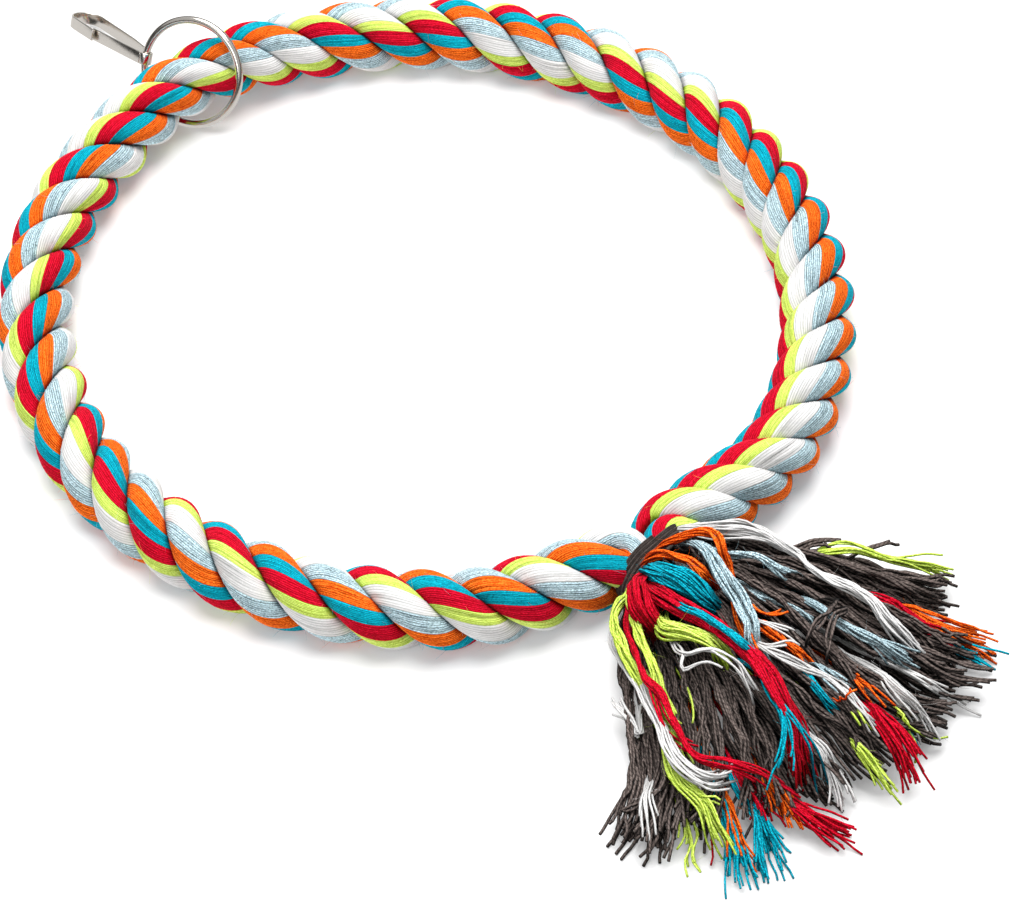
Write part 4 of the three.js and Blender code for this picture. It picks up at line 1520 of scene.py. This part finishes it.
@dataclass
class SteelRing:
    """Welded ring of round wire, loose on the rope."""

    wire: float = 1.7 * MM
    radius: float = 23.0 * MM
    segments: int = 128
    wire_segments: int = 24
    piece: Object | None = None

    def build(self, material: Material, node: Object) -> None:
        """Makes the ring in the plane of its solid.

        Args:
            material: The metal.
            node: The ring's CAD object.
        """
        places = np.array([v.co for v in node.data.vertices], float)
        centre = places.mean(axis=0)
        normal = np.linalg.svd(places - centre, full_matrices=False)[2][2]
        self.piece = primitive(
            "welded_ring",
            bpy.ops.mesh.primitive_torus_add,
            major_radius=self.radius,
            minor_radius=self.wire,
            major_segments=self.segments,
            minor_segments=self.wire_segments,
        )
        turn = Vector(normal).to_track_quat("Z", "Y")
        self.piece.matrix_world = Matrix.Translation(Vector(centre)) @ turn.to_matrix().to_4x4()
        apply_all(self.piece)
        bpy.ops.object.shade_smooth()
        self.piece.data.materials.append(material)

    def dress(self) -> None:
        """Ties the ring to its body."""
        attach(self.piece, Body.RING.value)
        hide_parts("steel_ring")


@dataclass
class SpringClip:
    """Hook bent from one flat strip, with its sprung gate."""

    width: float = 5.2 * MM
    thick: float = 0.9 * MM
    eye: float = 2.65 * MM
    kink: Pair = (18.3 * MM, 5.8 * MM)
    hook: Pair = (48.0 * MM, 1.0 * MM)
    hook_radius: float = 7.2 * MM
    tip_back: float = 17.5 * MM
    tip_flare: float = math.radians(4.0)
    gate_gap: float = 0.35 * MM
    gate_knee: float = 13.0 * MM
    gate_overlap: float = 2.5 * MM
    gate_play: float = 0.4 * MM
    drop: float = math.radians(13.0)
    sweep: float = math.radians(4.5)
    edge: float = 0.22 * MM
    edge_spans: int = 3
    edge_limit: float = math.radians(50.0)
    smooth_limit: float = math.radians(35.0)
    eye_turn: Pair = (math.radians(-90), math.radians(105 - 360))
    eye_spans: int = 30
    hook_spans: int = 24
    pieces: list[Object] = field(default_factory=list)

    def frame(self, joint: dict) -> Matrix:
        """Places the clip's own axes, ahead and aside of its eye.

        Args:
            joint: The record's hinge of the clip on the ring.

        Returns:
            The matrix from the clip's axes to the model's.
        """
        axis = Vector(joint["axis"]).normalized()
        level = math.cos(self.drop)
        ahead = Vector((-math.sin(self.sweep) * level, math.cos(self.sweep) * level, -math.sin(self.drop)))
        ahead = (ahead - axis * ahead.dot(axis)).normalized()
        aside = axis.cross(ahead)
        turn = Matrix((ahead, aside, axis)).transposed().to_4x4()
        return Matrix.Translation(Vector(joint["pos_m"])) @ turn

    @staticmethod
    def arc(
        centre: Pair, radius: float, start: float, end: float, steps: int
    ) -> list[Pair]:
        """Points on an arc.

        Args:
            centre: The arc's centre.
            radius: Its radius.
            start: Angle of its first point.
            end: Angle of its last.
            steps: How many spans it has.

        Returns:
            The points.
        """
        turns = [start + (end - start) * k / steps for k in range(steps + 1)]
        return [(centre[0] + radius * math.cos(turn), centre[1] + radius * math.sin(turn)) for turn in turns]

    def strip(
        self, name: str, line: list[Pair], place: Matrix, material: Material
    ) -> Object:
        """Bends a flat strip along a line.

        Args:
            name: The piece's name.
            line: Points ahead and aside of the eye.
            place: The clip's axes.
            material: The metal.

        Returns:
            The strip's object.
        """
        made = primitive(name, bpy.ops.mesh.primitive_plane_add, size=self.width)
        bpy.ops.object.mode_set(mode="EDIT")
        bpy.ops.mesh.select_all(action="DESELECT")
        bpy.ops.object.mode_set(mode="OBJECT")
        for vertex in made.data.vertices:
            x, y = line[0] if vertex.co.x < 0 else line[1]
            vertex.select = vertex.co.x > 0
            vertex.co = (x, y, math.copysign(self.width / 2, vertex.co.y))
        bpy.ops.object.mode_set(mode="EDIT")
        bpy.ops.mesh.select_mode(type="EDGE")
        for (x0, y0), (x1, y1) in zip(line[1:], line[2:]):
            bpy.ops.mesh.extrude_region_move(TRANSFORM_OT_translate={"value": (x1 - x0, y1 - y0, 0.0)})
        bpy.ops.mesh.select_all(action="SELECT")
        bpy.ops.mesh.normals_make_consistent(inside=False)
        bpy.ops.object.mode_set(mode="OBJECT")
        plate = made.modifiers.new("plate", "SOLIDIFY")
        plate.thickness = self.thick
        plate.offset = 0.0
        plate.use_even_offset = True
        round_edge = made.modifiers.new("edge", "BEVEL")
        round_edge.width = self.edge
        round_edge.segments = self.edge_spans
        round_edge.limit_method = "ANGLE"
        round_edge.angle_limit = self.edge_limit
        made.matrix_world = place
        apply_all(made)
        bpy.ops.object.shade_smooth_by_angle(angle=self.smooth_limit)
        made.data.materials.append(material)
        return made

    def build(self, material: Material, joint: dict) -> None:
        """Bends the hook and the gate.

        Args:
            material: The metal.
            joint: The record's hinge of the clip on the ring.
        """
        place = self.frame(joint)
        eye = self.arc((0.0, 0.0), self.eye, *self.eye_turn, self.eye_spans)
        hook = self.arc(self.hook, self.hook_radius, math.pi / 2, self.tip_flare - math.pi / 2, self.hook_spans)
        x, y = hook[-1]
        tip = (x - self.tip_back * math.cos(self.tip_flare), y - self.tip_back * math.sin(self.tip_flare))
        body = [*eye, self.kink, *hook, tip]
        lap = (self.thick + self.gate_play) / math.cos(self.tip_flare)
        gate = [
            (self.gate_gap, -self.eye),
            (self.gate_knee, -self.eye),
            (tip[0] + self.gate_overlap, tip[1] + self.gate_overlap * math.tan(self.tip_flare) + lap),
        ]
        self.pieces = [
            self.strip("clip_hook", body, place, material),
            self.strip("clip_spring_gate", gate, place, material),
        ]

    def dress(self) -> None:
        """Ties hook and gate to their bodies."""
        for piece, body, node in zip(self.pieces, (Body.CLIP, Body.GATE), ("clip_body", "clip_gate")):
            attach(piece, body.value)
            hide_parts(node)


@dataclass(frozen=True)
class Lamp:
    """A round, soft light that points at the object."""

    name: str
    place: Triple
    size: float
    watts: float


@dataclass
class Studio:
    """White floor, soft light from above and the camera of the photograph."""

    camera_at: Triple = (-0.5754, -0.8923, 1.2240)
    camera_way: Triple = (0.3552, 0.5323, -0.7684)
    lens: float = 137.3
    sensor: float = 36.0
    matt: float = 0.9
    floor_side: float = 14.0
    floor_white: float = 0.92
    floor_glow: float = 0.2
    floor_near: float = 0.45
    floor_far: float = 1.3
    floor_in_metal: float = 0.85
    wall_radius: float = 2.4
    wall_height: float = 0.9
    wall_sides: int = 64
    wall_dark: float = 0.03
    sky: float = 0.52
    lamps: tuple[Lamp, ...] = (
        Lamp("studio_top", (0.3, 0.5, 2.2), 2.2, 85.0),
        Lamp("studio_side", (-1.8, -0.9, 1.5), 1.2, 12.0),
    )

    @staticmethod
    def grey(light: float) -> Quad:
        """Makes a colour without a hue.

        Args:
            light: Its lightness.

        Returns:
            Red, green, blue and opacity.
        """
        return light, light, light, 1.0

    @staticmethod
    def stand(name: str, data: ID, place: Triple, way: Vector) -> Object:
        """Sets up a light or a camera.

        Args:
            name: Its name.
            data: The light or the camera.
            place: Where it stands.
            way: Where it points.

        Returns:
            The new object.
        """
        made = bpy.data.objects.new(name, data)
        made.location = place
        made.rotation_mode = "QUATERNION"
        made.rotation_quaternion = way.to_track_quat("-Z", "Y")
        bpy.context.scene.collection.objects.link(made)
        return made

    def floor(self) -> None:
        """Lays the floor, which glows far from the object and is dimmer in the metal."""
        made = primitive("studio_floor", bpy.ops.mesh.primitive_plane_add, size=self.floor_side)
        paint, nodes, shader = new_material("studio_white")
        white = self.grey(self.floor_white)
        nodes.feed(shader, {"Base Color": white, "Roughness": self.matt, "Specular IOR Level": 0.0})
        place = nodes.add("TexCoord").outputs["Object"]
        far = nodes.add("VectorMath", {0: place}, operation="LENGTH").outputs["Value"]
        fade = {"Value": far, "From Min": self.floor_near, "From Max": self.floor_far, "To Min": self.floor_glow}
        rays = nodes.add("LightPath").outputs
        share = nodes.calc("MULTIPLY", rays["Is Camera Ray"], nodes.add("MapRange", fade).outputs[0])
        glow = nodes.add("Emission").outputs[0]
        blend = nodes.add("MixShader", {0: share, 1: shader.outputs[0], 2: glow}).outputs[0]
        dim = nodes.add("Emission", {"Color": self.grey(self.floor_in_metal)}).outputs[0]
        mirrored = nodes.add("MixShader", {0: rays["Is Glossy Ray"], 1: blend, 2: dim}).outputs[0]
        nodes.feed(paint.node_tree.nodes["Material Output"], {"Surface": mirrored})
        made.data.materials.append(paint)
        made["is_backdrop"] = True

    def wall(self) -> None:
        """Stands a low dark wall round the set, seen in the metal alone."""
        made = primitive(
            "studio_wall",
            bpy.ops.mesh.primitive_cylinder_add,
            vertices=self.wall_sides,
            radius=self.wall_radius,
            depth=self.wall_height,
            end_fill_type="NOTHING",
            location=(0.0, 0.0, self.wall_height / 2),
        )
        made.visible_camera = False
        paint, nodes, shader = new_material("studio_dark")
        nodes.feed(shader, {"Base Color": self.grey(self.wall_dark), "Roughness": self.matt})
        made.data.materials.append(paint)
        made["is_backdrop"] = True

    def light(self, lamp: Lamp) -> None:
        """Hangs a light.

        Args:
            lamp: The light's sizes.
        """
        data = bpy.data.lights.new(lamp.name, "AREA")
        data.shape = "DISK"
        data.size = lamp.size
        data.energy = lamp.watts
        self.stand(lamp.name, data, lamp.place, -Vector(lamp.place))

    def build(self) -> None:
        """Sets floor, lights, world and camera."""
        self.floor()
        self.wall()
        for lamp in self.lamps:
            self.light(lamp)
        world = bpy.data.worlds.new("studio_world")
        world.use_nodes = True
        nodes = Nodes(world.node_tree)
        seen = nodes.add("LightPath").outputs["Is Camera Ray"]
        strength = nodes.add("MapRange", {"Value": seen, "To Min": self.sky}).outputs[0]
        nodes.feed(world.node_tree.nodes["Background"], {"Color": self.grey(1.0), "Strength": strength})
        data = bpy.data.cameras.new("photo_camera")
        data.lens = self.lens
        data.sensor_width = self.sensor
        scene = bpy.context.scene
        scene.world = world
        scene.camera = self.stand("photo_camera", data, self.camera_at, Vector(self.camera_way))
        scene.view_settings.view_transform = "Standard"


def corners(box: tuple[Vector, Vector]) -> list[list[float]]:
    """Turns a box into plain lists.

    Args:
        box: Lowest and highest corner.

    Returns:
        Both corners as lists.
    """
    return [list(map(float, corner)) for corner in box]


def main() -> None:
    """Builds the object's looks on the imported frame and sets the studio."""
    logging.basicConfig(level=logging.INFO, format="%(name)s: %(message)s")
    for spare in list(bpy.data.objects):
        bpy.data.objects.remove(spare)
    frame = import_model()
    packed = corners(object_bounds())
    joints = {joint["name"]: joint for joint in frame["joints"]}
    Studio().build()
    cottons = {finish.slot: finish.material() for finish in FINISHES}
    nickel = NickelFinish().material()
    path = RopePath(ring_at=tuple(joints["ring_turn"]["pos_m"]))
    rope, binding, tassel = Rope(path), Binding(path), Tassel(path)
    for soft in (rope, binding, tassel):
        soft.build(cottons)
        soft.dress()
        LOG.info("made %s", type(soft).__name__)
    ring, clip = SteelRing(), SpringClip()
    ring.build(nickel, frame["nodes"]["steel_ring"])
    ring.dress()
    clip.build(nickel, joints["clip_swing"])
    clip.dress()
    LOG.info("made the ring and the clip")
    {"frame": packed, "visual": corners(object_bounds())}


if __name__ == "__main__":
    main()
